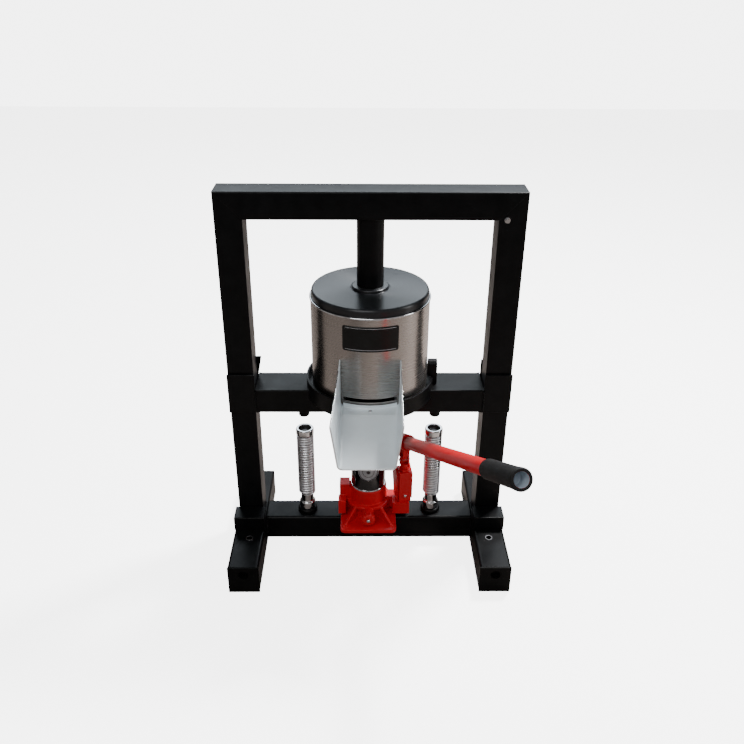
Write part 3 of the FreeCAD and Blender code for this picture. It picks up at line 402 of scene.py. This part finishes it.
def frame_welds():
    """Beads where the tubes of the frame and the platen meet."""
    low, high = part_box("top_beam")
    low, high = low / MM, high / MM
    post = high.z - low.z
    for side, corner in (("left", low.x), ("right", high.x)):
        inward = post if side == "left" else -post
        for face, y in (("front", low.y), ("back", high.y)):
            out = -0.1 if face == "front" else 0.1
            bead(f"mitre_weld_{side}_{face}", (corner + inward * 0.09, y - out * 3, high.z - post * 0.09),
                 (corner + inward * 0.99, y - out * 3, high.z - post * 0.99), 0.55, "frame")
        foot_low, foot_high = (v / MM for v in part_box(f"{side}_foot"))
        beam_low, beam_high = (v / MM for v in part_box("base_beam"))
        edge = foot_high.x if side == "left" else foot_low.x
        for face, y in (("front", beam_low.y), ("back", beam_high.y)):
            bead(f"base_weld_{side}_{face}", (edge, y, beam_low.z + 4), (edge, y, beam_high.z - 5), 1.5,
                 "frame")
        post_low, post_high = (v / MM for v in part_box(f"{side}_upright"))
        inner = post_high.x if side == "left" else post_low.x
        bead(f"post_weld_{side}", (inner, post_low.y + 4, post_low.z), (inner, post_high.y - 4, post_low.z),
             1.6, "frame")
        plate_low, plate_high = (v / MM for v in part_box(f"{side}_front_guide"))
        meet = plate_high.x if side == "left" else plate_low.x
        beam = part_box("platen_beam")
        bead(f"guide_weld_{side}", (meet, plate_low.y - 0.5, beam[0].z / MM + 2),
             (meet, plate_low.y - 0.5, beam[1].z / MM - 2), 1.4, "platen")


def bench_hole_rims():
    """Bare metal showing round each bench hole on the top of the feet."""
    radius = frame["record"]["mounts"][0]["dims"]["hole_r_mm"]
    half_x = frame["record"]["mounts"][0]["dims"]["spacing_x_mm"] / 2
    half_y = frame["record"]["mounts"][0]["dims"]["spacing_y_mm"] / 2
    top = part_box("left_foot")[1].z / MM
    profile = rounded([(radius, top - 1.2), (radius, top + 0.25), (radius + 1.3, top + 0.3),
                       (radius + 1.6, top - 0.1)], 0.3)
    for side, x in (("left", -half_x), ("right", half_x)):
        for end, y in (("front", -half_y), ("back", half_y)):
            lathe(f"hole_rim_{side}_{end}", profile, (x * MM, y * MM), WORN, "frame", "frame_black",
                  segments=48)


frame_welds()
bench_hole_rims()


# ---- press plate and column ----------------------------------------------------------------------

def press_plate():
    low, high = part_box("press_plate")
    radius, bottom, top = high.x / MM, low.z / MM, high.z / MM
    groove_in, groove_out, groove_deep = 28, 30, 0.7
    disc = rounded([(11, bottom), (radius - 1, bottom), (radius, bottom + 1.4), (radius, top - 3.2),
                    (radius - 1.2, top - 1), (radius - 3, top), (groove_out, top),
                    (groove_out - 0.6, top - groove_deep), (groove_in + 0.6, top - groove_deep),
                    (groove_in, top), (15, top)], [0, 0.6, 1, 1.6, 2, 2.2, .3, .3, .3, .3, 0])
    lathe("plate_disc", disc, (0, 0), PLATE, "frame", "frame_black", ("press_plate",), segments=256)
    collar_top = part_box("column_collar")[1].z / MM
    collar = rounded([(20, top), (28, top), (28, collar_top - 1.2), (26.6, collar_top), (20, collar_top)],
                     [0, .1, .8, 1, 0])
    lathe("collar_disc", collar, (0, 0), PLATE, "frame", "frame_black", ("column_collar",), segments=160)
    column_low, column_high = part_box("press_column")
    radius = column_high.x / MM
    lathe("column_tube", [(radius, column_low.z / MM), (radius, column_high.z / MM)], (0, 0), BLACK, "frame",
          "frame_black", ("press_column",), segments=160)
    reach, height = radius + 0.4, column_high.z / MM - 0.8
    ring = [Vector((math.cos(a) * reach, math.sin(a) * reach, height)) * MM
            for a in (2 * math.pi * i / 220 for i in range(221))]
    add_object("column_weld", swept_mesh("column_weld", ring, 1.7 * MM, sides=10,
                                         profile=lambda i: 0.85 + 0.15 * abs(math.sin(i * 0.7))),
               BLACK, "frame")


press_plate()


# ---- cylinder ------------------------------------------------------------------------------------

def cylinder():
    """Rolled wall with its drain slot, a seam at the back and a rolled rim."""
    low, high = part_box("cylinder_wall")
    wall = 1.0
    outer, inner = high.x / MM, high.x / MM - wall
    bottom, top = low.z / MM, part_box("cylinder_rim")[0].z / MM
    slot_half_degrees, slot_low, slot_high = 26.3, 316.5, 322.5
    heights = [bottom + 0.1, bottom + 0.6, slot_low, slot_high, top]
    count = 360
    points, faces = [], []
    for radius in (outer, inner):
        for step in range(count):
            angle = 2 * math.pi * step / count
            for height in heights:
                points.append(Vector((radius * math.cos(angle), radius * math.sin(angle), height)) * MM)
    rows = len(heights)
    shell = count * rows

    def is_open(step, row):
        return row == 2 and abs((step + 0.5) * 360 / count - 270) < slot_half_degrees

    for step in range(count):
        after = (step + 1) % count
        for row in range(rows - 1):
            if is_open(step, row):
                continue
            a, b = step * rows + row, after * rows + row
            faces.append((a, b, b + 1, a + 1))
            faces.append((shell + a, shell + a + 1, shell + b + 1, shell + b))
        a, b = step * rows, after * rows
        faces.append((a, shell + a, shell + b, b))
        if is_open(step, 2):
            for row in (2, 3):
                faces.append((a + row, b + row, shell + b + row, shell + a + row))
            for side, column in ((step - 1, a), (step + 1, b)):
                if not is_open(side, 2):
                    faces.append((column + 2, column + 3, shell + column + 3, shell + column + 2))
    mesh = mesh_from("cylinder_skin", points, faces)
    add_object("cylinder_skin", mesh, STEEL, "cylinder", ("cylinder_wall",))
    rim_low, rim_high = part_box("cylinder_rim")
    bead_radius = (rim_high.z - rim_low.z) / MM / 2
    rim_out = rim_high.x / MM
    centre_z = rim_low.z / MM + bead_radius
    arc = [(rim_out - bead_radius + bead_radius * math.cos(math.radians(a)),
            centre_z + bead_radius * math.sin(math.radians(a))) for a in range(-110, 181, 15)]
    lathe("rolled_rim", arc + [(inner, centre_z - bead_radius), (outer, centre_z - bead_radius)], (0, 0),
          CHROME, "cylinder", "stainless", ("cylinder_rim",), segments=360)
    seam = [Vector((0, outer + 0.15, height)) * MM for height in range(round(bottom) + 2, int(top))]
    add_object("wall_seam", swept_mesh("wall_seam", seam, 0.8 * MM, sides=8,
                                       profile=lambda i: 0.8 + 0.2 * abs(math.sin(i * 0.9))),
               STEEL, "cylinder")


def curved_panel(name, radius, half_width, low, high, corner, material, body, replaces=(), centre_x=0.0,
                 steps=48, thick=0.35):
    """Film with rounded corners wrapped on the front of a cylinder."""
    points, faces = [], []
    rows = 24
    for i in range(steps + 1):
        for k in range(rows + 1):
            u = (i / steps * 2 - 1)
            v = k / rows
            z = low + (high - low) * v
            edge = min(z - low, high - z)
            pull = corner - math.sqrt(max(0, corner ** 2 - (corner - edge) ** 2)) if edge < corner else 0
            angle = -math.pi / 2 + u * (half_width - pull) / radius
            x = centre_x / MM + radius * math.cos(angle)
            points.append(Vector((x, radius * math.sin(angle), z)) * MM)
    for i in range(steps):
        for k in range(rows):
            a = i * (rows + 1) + k
            faces.append((a, a + rows + 1, a + rows + 2, a + 1))
    obj = add_object(name, mesh_from(name, points, faces), material, body, replaces)
    modifier(obj, "SOLIDIFY", thickness=thick * MM, offset=1)
    return obj


def name_plate():
    low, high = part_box("name_plate")
    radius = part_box("cylinder_wall")[1].x / MM
    half = high.x / MM * 1.02
    curved_panel("blank_plate", radius, half, low.z / MM, high.z / MM, 2.5, FILM, "cylinder",
                 ("name_plate",))
    for edge, (z_low, z_high) in {"upper": (high.z / MM - 3.2, high.z / MM - 2.6),
                                  "lower": (low.z / MM + 2.6, low.z / MM + 3.2)}.items():
        curved_panel(f"plate_line_{edge}", radius + 0.2, half - 4, z_low, z_high, 0.2, SILVER, "cylinder",
                     thick=0.25)


cylinder()
name_plate()


# ---- spout ---------------------------------------------------------------------------------------

def spout():
    """Folded sheet: flat floor with bent corners, flared walls, back edge fitted to the cylinder."""
    # y, floor height, top height, half width at the floor and at the top, shift to the side
    stations = [(-74.0, 306.2, 384.0, 45.5, 45.0, 0.0), (-110.0, 306.2, 370.0, 43.0, 46.0, -1.5),
                (-192.0, 268.0, 338.0, 40.5, 50.5, -5.5)]
    bend = 7.0
    sheet = 1.5

    def section(y):
        for first, last in zip(stations, stations[1:]):
            if y >= last[0] or last is stations[-1]:
                t = (y - first[0]) / (last[0] - first[0])
                return [a + (b - a) * t for a, b in zip(first[1:], last[1:])]

    def cross(y):
        """Points of the U at this y, from the left wall's top to the right wall's top."""
        floor, top, half, flare, shift = section(y)
        right = []
        for step in range(9):
            right.append((half * 0.9 * step / 8, floor))
        corner = Vector((half, floor))
        along = Vector((-1, 0))
        up = Vector((flare - half, top - floor)).normalized()
        first, last = corner + along * bend, corner + up * bend
        right[-1] = (first.x, first.y)
        for step in range(1, 9):
            t = step / 8
            p = first * (1 - t) ** 2 + corner * 2 * t * (1 - t) + last * t * t
            right.append((p.x, p.y))
        crown = Vector((flare, top))
        for step in range(1, 7):
            p = last.lerp(crown, step / 6)
            right.append((p.x, p.y))
        return [(shift - x, z) for x, z in reversed(right[1:])] + [(shift + x, z) for x, z in right]

    fold_y, tip_y = -110, -192
    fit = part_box("cylinder_wall")[1].x / MM + 0.7
    # 0 to 1 runs from the cylinder to the fold, 1 to 2 from the fold to the tip
    lengths = [i / 22 for i in range(23)] + [1 + i / 26 for i in range(1, 27)]
    columns = len(cross(-100))
    points, faces = [], []
    for length in lengths:
        for column in range(columns):
            x_guess = cross(-90)[column][0]
            start = -math.sqrt(max(1.0, fit ** 2 - x_guess ** 2))
            y = start + (fold_y - start) * length if length <= 1 else fold_y + (tip_y - fold_y) * (length - 1)
            x, z = cross(y)[column]
            points.append(Vector((x, y, z)) * MM)
    for row in range(len(lengths) - 1):
        for column in range(columns - 1):
            a = row * columns + column
            faces.append((a, a + 1, a + columns + 1, a + columns))
    mesh = mesh_from("spout_skin", points, faces, 60)
    obj = add_object("spout_skin", mesh, SHEET, "platen", ("drain_chute",))
    inward = sum((f.normal.z for f in mesh.polygons), 0)
    modifier(obj, "SOLIDIFY", thickness=sheet * MM, offset=1 if inward > 0 else -1)
    modifier(obj, "BEVEL", width=0.35 * MM, segments=2, limit_method="ANGLE", angle_limit=math.radians(50))
    last_row = (len(lengths) - 1) * columns
    edge = [points[row * columns] for row in range(len(lengths) - 1)]
    edge += points[last_row:]
    edge += [points[row * columns + columns - 1] for row in range(len(lengths) - 2, -1, -1)]
    add_object("spout_edge", swept_mesh("spout_edge", edge, 0.85 * MM, sides=10), EDGE, "platen")
    lip = rounded([(91.6, 307.2), (91.6, 313.0), (93.1, 313.2), (93.4, 308.6), (95.6, 307.4)],
                  [0, .5, .7, 1.5, 0])
    lip_half = 25.5
    lathe("spout_lip", lip, (0, 0), SHEET, "platen", "stainless", segments=80,
          arc=(270 - lip_half, 270 + lip_half))
    screw = middle("chute_screw")
    top = 307.9
    head = rounded([(0.0, top + 1.5), (1.8, top + 1.35), (3.0, top + 0.3), (3.1, top - 0.3)], .5)
    lathe("spout_screw", head, (screw.x, screw.y), CHROME, "platen", "chrome", ("chute_screw",), segments=40)


spout()


# ---- platen pegs and spring posts ----------------------------------------------------------------

def stop_pegs():
    low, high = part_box("stop_pegs")
    radius = 8.6
    reach = (high.x - low.x) / MM / 2 - radius
    bottom, top = low.z / MM, high.z / MM
    for side, x in (("left", -reach), ("right", reach)):
        profile = rounded([(0, bottom), (radius - 1.2, bottom), (radius, bottom + 1.4), (radius, top - 1.6),
                           (radius + 1.6, top)], [0, .6, 1, 1, 0])
        obj = lathe(f"peg_{side}", profile, (x * MM, 0), BLACK, "platen", "platen_black", segments=64)
    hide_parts("stop_pegs")


def coil_path(x, low, high, radius, wire):
    """Centre line of a compression spring with a closed, touching turn at each end, in metres."""
    turns, closed = 23.5, 1.0
    pitch_closed = 2 * wire * 1.02
    open_turns = turns - 2 * closed
    pitch_open = (high - low - 2 * wire - 2 * closed * pitch_closed) / open_turns
    path = []
    steps = 26
    z = low + wire
    for i in range(int(turns * steps) + 1):
        turn = i / steps
        path.append(Vector((x + radius * math.cos(turn * 2 * math.pi - 1.2),
                            radius * math.sin(turn * 2 * math.pi - 1.2), z)) * MM)
        inside = closed <= turn < turns - closed
        z += (pitch_open if inside else pitch_closed) / steps
    return path


def spring_post(side):
    x = middle(f"{side}_spring_seat").x
    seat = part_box(f"{side}_spring_seat")
    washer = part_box("spring_washers")
    base, washer_top = washer[0].z / MM, washer[1].z / MM
    seat_low, sleeve_top = seat[0].z / MM, seat[1].z / MM
    washer_radius = washer[1].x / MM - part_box("right_spring_seat")[0].x / MM - 13.5
    lathe(f"{side}_washer", rounded([(8, base), (washer_radius, base), (washer_radius, washer_top - 2),
                                     (washer_radius - 2, washer_top), (8, washer_top)], [0, 0, 1.5, 1.2, 0]),
          (x, 0), BLACK, "frame", "frame_black", segments=80)
    lathe(f"{side}_seat", rounded([(8, seat_low), (12.6, seat_low), (13.5, seat_low + 1.4),
                                   (13.5, seat_low + 12), (12.4, seat_low + 13.8), (10.9, seat_low + 14.6),
                                   (10.4, seat_low + 16.4), (10.4, sleeve_top - 1), (9.8, sleeve_top),
                                   (7.6, sleeve_top)], [0, 1, 1, 2, 1.5, 1, 1, .6, .5, 0]),
          (x, 0), CHROME, "frame", "chrome", (f"{side}_spring_seat",), segments=96)
    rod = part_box(f"{side}_spring_rod")
    rod_radius = (rod[1].x - rod[0].x) / MM / 2
    lathe(f"{side}_rod", rounded([(rod_radius, rod[0].z / MM), (rod_radius, rod[1].z / MM - 2),
                                  (rod_radius - 2, rod[1].z / MM), (0, rod[1].z / MM)], [0, 1, 1, 0]),
          (x, 0), CHROME, "frame", "chrome", (f"{side}_spring_rod",), segments=64)
    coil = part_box(f"{side}_spring")
    outer = (coil[1].x - coil[0].x) / MM / 2
    wire = 2.0
    path = coil_path(x / MM, coil[0].z / MM, coil[1].z / MM, outer - wire, wire)
    wound = add_object(f"{side}_coil", swept_mesh(f"{side}_coil", path, wire * MM, sides=14), WIRE, "frame",
                       (f"{side}_spring",))
    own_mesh(wound)
    low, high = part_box(f"{side}_spring_cap")
    top, radius = high.z / MM, (high.x - low.x) / MM / 2
    under = top - 11
    body = f"{side}_cap"
    lathe(f"{side}_cap_ring", rounded([(8.6, under), (radius - 0.6, under), (radius, under + 0.8),
                                       (radius, top - 1.6), (radius - 0.8, top - 0.3), (radius - 1.8, top),
                                       (10.8, top), (10.2, top - 1), (9.6, top - 5.6), (0, top - 6)],
                                      [0, .5, .6, .7, .5, .6, .4, .4, .8, 0]),
          (x, 0), CHROME, body, "chrome", (f"{side}_spring_cap",), segments=96)
    # The black recess dish is painted shade and dark reflection inside the cap's bore.
    recess = rounded([(9.9, top - 2.6), (9.3, top - 5.4), (5.2, top - 5.7), (4.4, top - 5.1),
                      (2.2, top - 4.9), (0, top - 4.8)], .5)
    lathe(f"{side}_cap_recess", recess, (x, 0), INK_AND_SHADE, body, "chrome", segments=64)
    # The neck ring is coloured as painted shadow in the gap under the cap.
    lathe(f"{side}_cap_neck", [(9.0, under - 0.8), (11.6, under - 0.8), (11.6, under)], (x, 0), CAP_GAP_SHADE, body,
          "chrome", segments=64)


stop_pegs()
for side_name in ("left", "right"):
    spring_post(side_name)
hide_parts("spring_washers")


# ---- jack ----------------------------------------------------------------------------------------

def jack():
    casting = cast_from("jack_base", "base_casting", 0.75, 5, CAST_RED, "frame")
    clear_bore(casting, middle("pump_plunger"), 6.6 * MM, 73.4 * MM, 87 * MM)
    low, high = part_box("reservoir")
    radius, bottom, top = (high.x - low.x) / MM / 2, low.z / MM, high.z / MM
    here = (JACK_X, 0)
    lathe("oil_reservoir", rounded([(radius - 2, bottom), (radius, bottom), (radius, top - 3),
                                    (radius - 2, top), (17.2, top)], [0, 0, 2, 2, 0]),
          here, GLOSS, "frame", "jack_black", ("reservoir",), segments=160)
    lathe("reservoir_band", rounded([(radius, bottom + 0.2), (radius + 1.2, bottom + 0.2),
                                     (radius + 1.4, bottom + 1.6), (radius + 0.7, bottom + 2.8),
                                     (radius, bottom + 3)], [0, .5, .6, .6, 0]),
          here, CHROME, "frame", "chrome", ("reservoir_foot_ring",), segments=160)
    lathe("barrel_tube", [(17, 62), (17, top - 0.2), (13.2, top - 0.2), (13.2, 62)], here, BLACK, "frame",
          "jack_black", ("ram_barrel",), segments=64)
    wiper_low, wiper_high = (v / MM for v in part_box("ram_wiper"))
    lathe("ram_seal", rounded([(13.4, wiper_low.z), (17, wiper_low.z), (16.4, wiper_high.z - .6),
                               (14.4, wiper_high.z), (13.4, wiper_high.z - .4)], .5),
          here, RUBBER, "frame", "rubber", ("ram_wiper",), segments=64)
    ram_low, ram_high = (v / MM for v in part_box("ram"))
    reach = (ram_high.x - ram_low.x) / 2
    lathe("ram_tube", rounded([(reach, ram_low.z), (reach, ram_high.z - 1.2), (reach - 1.2, ram_high.z),
                               (8.2, ram_high.z), (8.1, ram_high.z - 20)], [0, .6, .6, .3, 0]),
          here, CHROME, "ram", "chrome", ("ram",), segments=96)
    screw_low, screw_high = (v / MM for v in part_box("extension_screw"))
    thread = []
    height = screw_low.z
    while height < screw_high.z - 14:
        thread += [(6.9, height), (8.0, height + 0.9), (8.0, height + 1.2), (6.9, height + 2.1)]
        height += 2.3
    saddle = rounded([(8.4, screw_high.z - 12), (12.4, screw_high.z - 11), (14, screw_high.z - 7),
                      (14, screw_high.z - 1.4), (12.8, screw_high.z), (9.5, screw_high.z),
                      (8.2, screw_high.z - 1.8), (0, screw_high.z - 1.8)], [0, 1, 2, .8, .8, .8, 1, 0])
    lathe("screw_and_saddle", thread + saddle, here, CHROME, "screw", "chrome", ("extension_screw",),
          segments=72)
    label_low, label_high = (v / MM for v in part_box("jack_label"))
    centre_z = (label_low.z + label_high.z) / 2
    size = (label_high.z - label_low.z) / 2
    curved_panel("badge_field", radius, size, centre_z - size, centre_z + size, size * 0.98, SILVER, "frame",
                 ("jack_label",), centre_x=JACK_X, thick=0.25)
    for name, inner, outer in (("badge_ring", 0.86, 0.92), ("badge_inner", 0.50, 0.54),
                               ("badge_dot", 0.0, 0.16)):
        wrapped_ring(name, radius + 0.3, size * inner, size * outer, centre_z)
    plug = middle("filler_plug")
    turned = Matrix.Translation((plug.x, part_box("filler_plug")[0].y, plug.z))
    turned = turned @ Matrix.Rotation(-math.pi / 2, 4, "X")
    bung = rounded([(3.8, 0), (3.8, 3.2), (5, 3.4), (5, 5.6), (4.2, 6.5), (0, 6.5)], .5)
    lathe("filler_bung", bung, (0, 0), RUBBER, "frame", "rubber", ("filler_plug",), matrix=turned,
          segments=40)


def wrapped_ring(name, radius, inner, outer, centre_z):
    """Flat ring or dot of ink wrapped on the front of the reservoir."""
    points, faces = [], []
    count = 64
    for reach in (inner, outer):
        for step in range(count):
            turn = 2 * math.pi * step / count
            across, up = reach * math.cos(turn), reach * math.sin(turn)
            angle = -math.pi / 2 + across / radius
            points.append(Vector((JACK_X / MM + radius * math.cos(angle), radius * math.sin(angle),
                                  centre_z + up)) * MM)
    for step in range(count):
        after = (step + 1) % count
        faces.append((step, after, count + after, count + step))
    obj = add_object(name, mesh_from(name, points, faces), INK_AND_SHADE, "frame")
    modifier(obj, "SOLIDIFY", thickness=0.1 * MM, offset=1)


def valve():
    """Fluted release knob with a bright round-headed screw."""
    low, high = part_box("valve_knob")
    centre = Vector((middle("valve_knob").x, high.y, middle("valve_knob").z))
    along = Matrix.Translation(centre) @ Matrix.Rotation(math.pi / 2, 4, "X")
    length = (high.y - low.y) / MM
    radius = (high.x - low.x) / MM / 2
    start = length - 13

    def flutes(angle, height):
        return 1 - 0.07 * max(0, math.cos(angle * 12)) ** 2 if height > start + 0.5 else 1

    profile = rounded([(4, 0), (4, start), (radius * 0.8, start + 0.3), (radius, start + 2),
                       (radius, length - 2.4), (radius * 0.86, length - 0.6),
                       (radius * 0.42, length), (3.6, length - 0.2),
                       (3.4, length - 1.6), (0, length - 1.6)], [0, .2, .8, 1.2, 1.6, 1.4, .8, .4, .4, 0], 5)
    lathe("release_knob", profile, (0, 0), CAST_RED, "valve", "jack_red", ("valve_knob",), matrix=along,
          segments=192, wobble=flutes)
    screw = rounded([(3.1, length - 1.6), (3.1, length + 0.3), (2.2, length + 1.3), (0, length + 1.5)], .6)
    lathe("knob_screw", screw, (0, 0), CHROME, "valve", "chrome", ("valve_knob_screw",), matrix=along,
          segments=48)


jack()
valve()


# ---- pump and handle -----------------------------------------------------------------------------

def pump():
    cast_from("pump_block", "block_casting", 0.6, 4, CAST_RED, "frame")
    cast_from("fulcrum_links", "link_plates", 0.5, 2, RED, "frame")
    cast_from("handle_socket", "socket_casting", 0.6, 5, CAST_RED, "lever")
    dress("pump_plunger", RED, 0.5)
    block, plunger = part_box("pump_block"), middle("pump_plunger")
    face = Matrix.Translation((plunger.x, plunger.y, block[0].z + 13 * MM)) @ Matrix.Rotation(TURN, 4, "Z")
    face = face @ Matrix.Translation((0, -11.3 * MM, 0)) @ Matrix.Rotation(math.pi / 2, 4, "X")
    lathe("pump_rivet", rounded([(2.7, 0), (2.5, 0.9), (1.4, 1.5), (0, 1.6)], .5), (0, 0), CHROME, "frame",
          "jack_red", matrix=face, segments=40)


def handle():
    """Painted tube whose open end sits in a rubber grip that flares at its end."""
    joint = [j for j in frame["joints"] if j["name"] == "pump_lever"][0]
    pivot = Vector(joint["pos_m"])
    facing = Matrix.Translation(pivot) @ Matrix.Rotation(TURN, 4, "Z") @ Matrix.Rotation(-RISE, 4, "X")
    along = facing @ Matrix.Translation((0, 0, 20 * MM)) @ Matrix.Rotation(math.pi / 2, 4, "X")
    near, far = 6.0, 520.0
    tube, inside = 10.5, 9.0
    grip, grip_start = 12.5, 422.0
    lathe("handle_tube", rounded([(inside, near), (tube, near), (tube, far - 0.8), (inside, far - 0.8),
                                  (inside, near)], [0, .6, .3, .3, 0]),
          (0, 0), RED, "handle", "jack_red", ("pump_handle",), matrix=along, segments=96)
    lathe("handle_bore", [(inside - 0.05, far - 0.9), (inside - 0.05, far - 24), (0, far - 24)], (0, 0), BORE,
          "handle", "jack_red", matrix=along, segments=96)
    lathe("grip_sleeve", rounded([(tube, grip_start), (grip - 0.5, grip_start), (grip, grip_start + 1.5),
                                  (grip, far - 16), (grip + 0.6, far - 8), (grip + 0.6, far - 1.5),
                                  (grip - 0.4, far), (inside + 0.3, far), (inside, far - 1.2)],
                                 [0, .6, 1, 5, 4, 1.2, .8, .6, 0]),
          (0, 0), RUBBER, "handle", "rubber", ("handle_grip",), matrix=along, segments=128)


pump()
handle()


# ---- floor, light and camera ---------------------------------------------------------------------

def floor():
    """Plain near-white floor, which shows darker and warmer in reflections."""
    mesh = mesh_from("floor", [(-4, -4, 0), (4, -4, 0), (4, 4, 0), (-4, 4, 0)], [(0, 1, 2, 3)])
    obj = bpy.data.objects.new("floor", mesh)
    bpy.context.scene.collection.objects.link(obj)
    obj.location.z = -0.0004
    pale, tree, shader = new_material("floor_pale", (0.9, 0.9, 0.9), 0, 0.8, Emission_Color=(1, 1, 1, 1))
    tint = two_tone(tree, shader, spread(tree, noise(tree, 3, 4), 0, 1), (0.89, 0.89, 0.89),
                    (0.91, 0.91, 0.91))
    seen = tree.nodes.new("ShaderNodeLightPath")
    dim = tree.nodes.new("ShaderNodeMix")
    dim.data_type = "RGBA"
    tones = [socket for socket in dim.inputs if socket.type == "RGBA"]
    tones[0].default_value = (0.30, 0.255, 0.23, 1)
    tree.links.new(tint, tones[1])
    tree.links.new(seen.outputs["Is Camera Ray"], dim.inputs[0])
    mixed = [socket for socket in dim.outputs if socket.type == "RGBA"][0]
    tree.links.new(mixed, shader.inputs["Base Color"])
    glow = tree.nodes.new("ShaderNodeMath")
    glow.operation = "MULTIPLY"
    glow.inputs[1].default_value = 4.4
    tree.links.new(seen.outputs["Is Camera Ray"], glow.inputs[0])
    tree.links.new(glow.outputs["Value"], shader.inputs["Emission Strength"])
    mesh.materials.append(pale)


def studio():
    """White surround to the camera; in reflections, soft bands that darken towards the back."""
    world = bpy.data.worlds.new("studio")
    bpy.context.scene.world = world
    world.use_nodes = True
    tree = world.node_tree
    back = tree.nodes["Background"]
    coords = tree.nodes.new("ShaderNodeTexCoord")
    split = tree.nodes.new("ShaderNodeSeparateXYZ")
    level = tree.nodes.new("ShaderNodeCombineXYZ")
    bands = tree.nodes.new("ShaderNodeTexNoise")
    bands.inputs["Scale"].default_value = 2.6
    bands.inputs["Detail"].default_value = 2.5
    ramp = tree.nodes.new("ShaderNodeValToRGB")
    ramp.color_ramp.elements[0].position = 0.40
    ramp.color_ramp.elements[0].color = (0.10, 0.075, 0.06, 1)
    ramp.color_ramp.elements[1].position = 0.62
    ramp.color_ramp.elements[1].color = (0.95, 0.93, 0.92, 1)
    tree.links.new(coords.outputs["Generated"], split.inputs["Vector"])
    tree.links.new(split.outputs["X"], level.inputs["X"])
    tree.links.new(split.outputs["Y"], level.inputs["Y"])
    tree.links.new(level.outputs["Vector"], bands.inputs["Vector"])
    tree.links.new(bands.outputs["Fac"], ramp.inputs["Fac"])
    seen = tree.nodes.new("ShaderNodeLightPath")
    white = tree.nodes.new("ShaderNodeMix")
    white.data_type = "RGBA"
    sockets = [s for s in white.inputs if s.type == "RGBA"]
    sockets[1].default_value = (9.0, 9.0, 9.0, 1)
    fall = tree.nodes.new("ShaderNodeMapRange")
    fall.inputs["From Min"].default_value = -0.3
    fall.inputs["From Max"].default_value = 0.35
    fall.inputs["To Min"].default_value = 1.0
    fall.inputs["To Max"].default_value = 0.16
    tree.links.new(split.outputs["Y"], fall.inputs["Value"])
    dimmed = tree.nodes.new("ShaderNodeVectorMath")
    dimmed.operation = "SCALE"
    tree.links.new(ramp.outputs["Color"], dimmed.inputs[0])
    tree.links.new(fall.outputs["Result"], dimmed.inputs["Scale"])
    tree.links.new(dimmed.outputs["Vector"], sockets[0])
    tree.links.new(seen.outputs["Is Camera Ray"], white.inputs[0])
    output = [s for s in white.outputs if s.type == "RGBA"][0]
    tree.links.new(output, back.inputs["Color"])
    back.inputs["Strength"].default_value = 0.6


def softbox(name, place, aim, size, power, color=(1, 1, 1)):
    data = bpy.data.lights.new(name, "AREA")
    data.shape = "RECTANGLE"
    data.size, data.size_y = size
    data.energy = power
    data.color = color
    obj = bpy.data.objects.new(name, data)
    bpy.context.scene.collection.objects.link(obj)
    obj.location = place
    obj.rotation_mode = "QUATERNION"
    obj.rotation_quaternion = (Vector(aim) - Vector(place)).to_track_quat("-Z", "Y")


def camera():
    """Lens and station of the photograph: 28.5 degrees down, almost square on."""
    data = bpy.data.cameras.new("camera")
    data.sensor_width = 36
    data.lens = 38.68
    obj = bpy.data.objects.new("camera", data)
    bpy.context.scene.collection.objects.link(obj)
    pitch, yaw, roll = math.radians(28.52), math.radians(0.81), math.radians(0.42)
    forward = Vector((math.sin(yaw) * math.cos(pitch), math.cos(yaw) * math.cos(pitch), -math.sin(pitch)))
    right = Vector((math.cos(yaw), -math.sin(yaw), 0))
    up = right.cross(forward)
    across = right * math.cos(roll) + up * math.sin(roll)
    upward = up * math.cos(roll) - right * math.sin(roll)
    place = Matrix((across, upward, -forward)).transposed().to_4x4()
    place.translation = Vector((-12.08, -1109.72, 922.82)) * MM
    obj.matrix_world = place
    bpy.context.scene.camera = obj


floor()
studio()
softbox("key", (0.75, 0.62, 1.9), (0, -0.05, 0.25), (0.28, 0.28), 80)
softbox("front", (-0.5, -1.5, 2.0), (0, 0, 0.25), (1.3, 0.9), 20)
softbox("back", (0, 2.3, 1.85), (0, 0, 0.5), (2.8, 0.9), 34, (0.84, 0.93, 1.0))
softbox("side", (1.6, -0.4, 0.9), (0, 0, 0.3), (0.4, 1.4), 9)
camera()
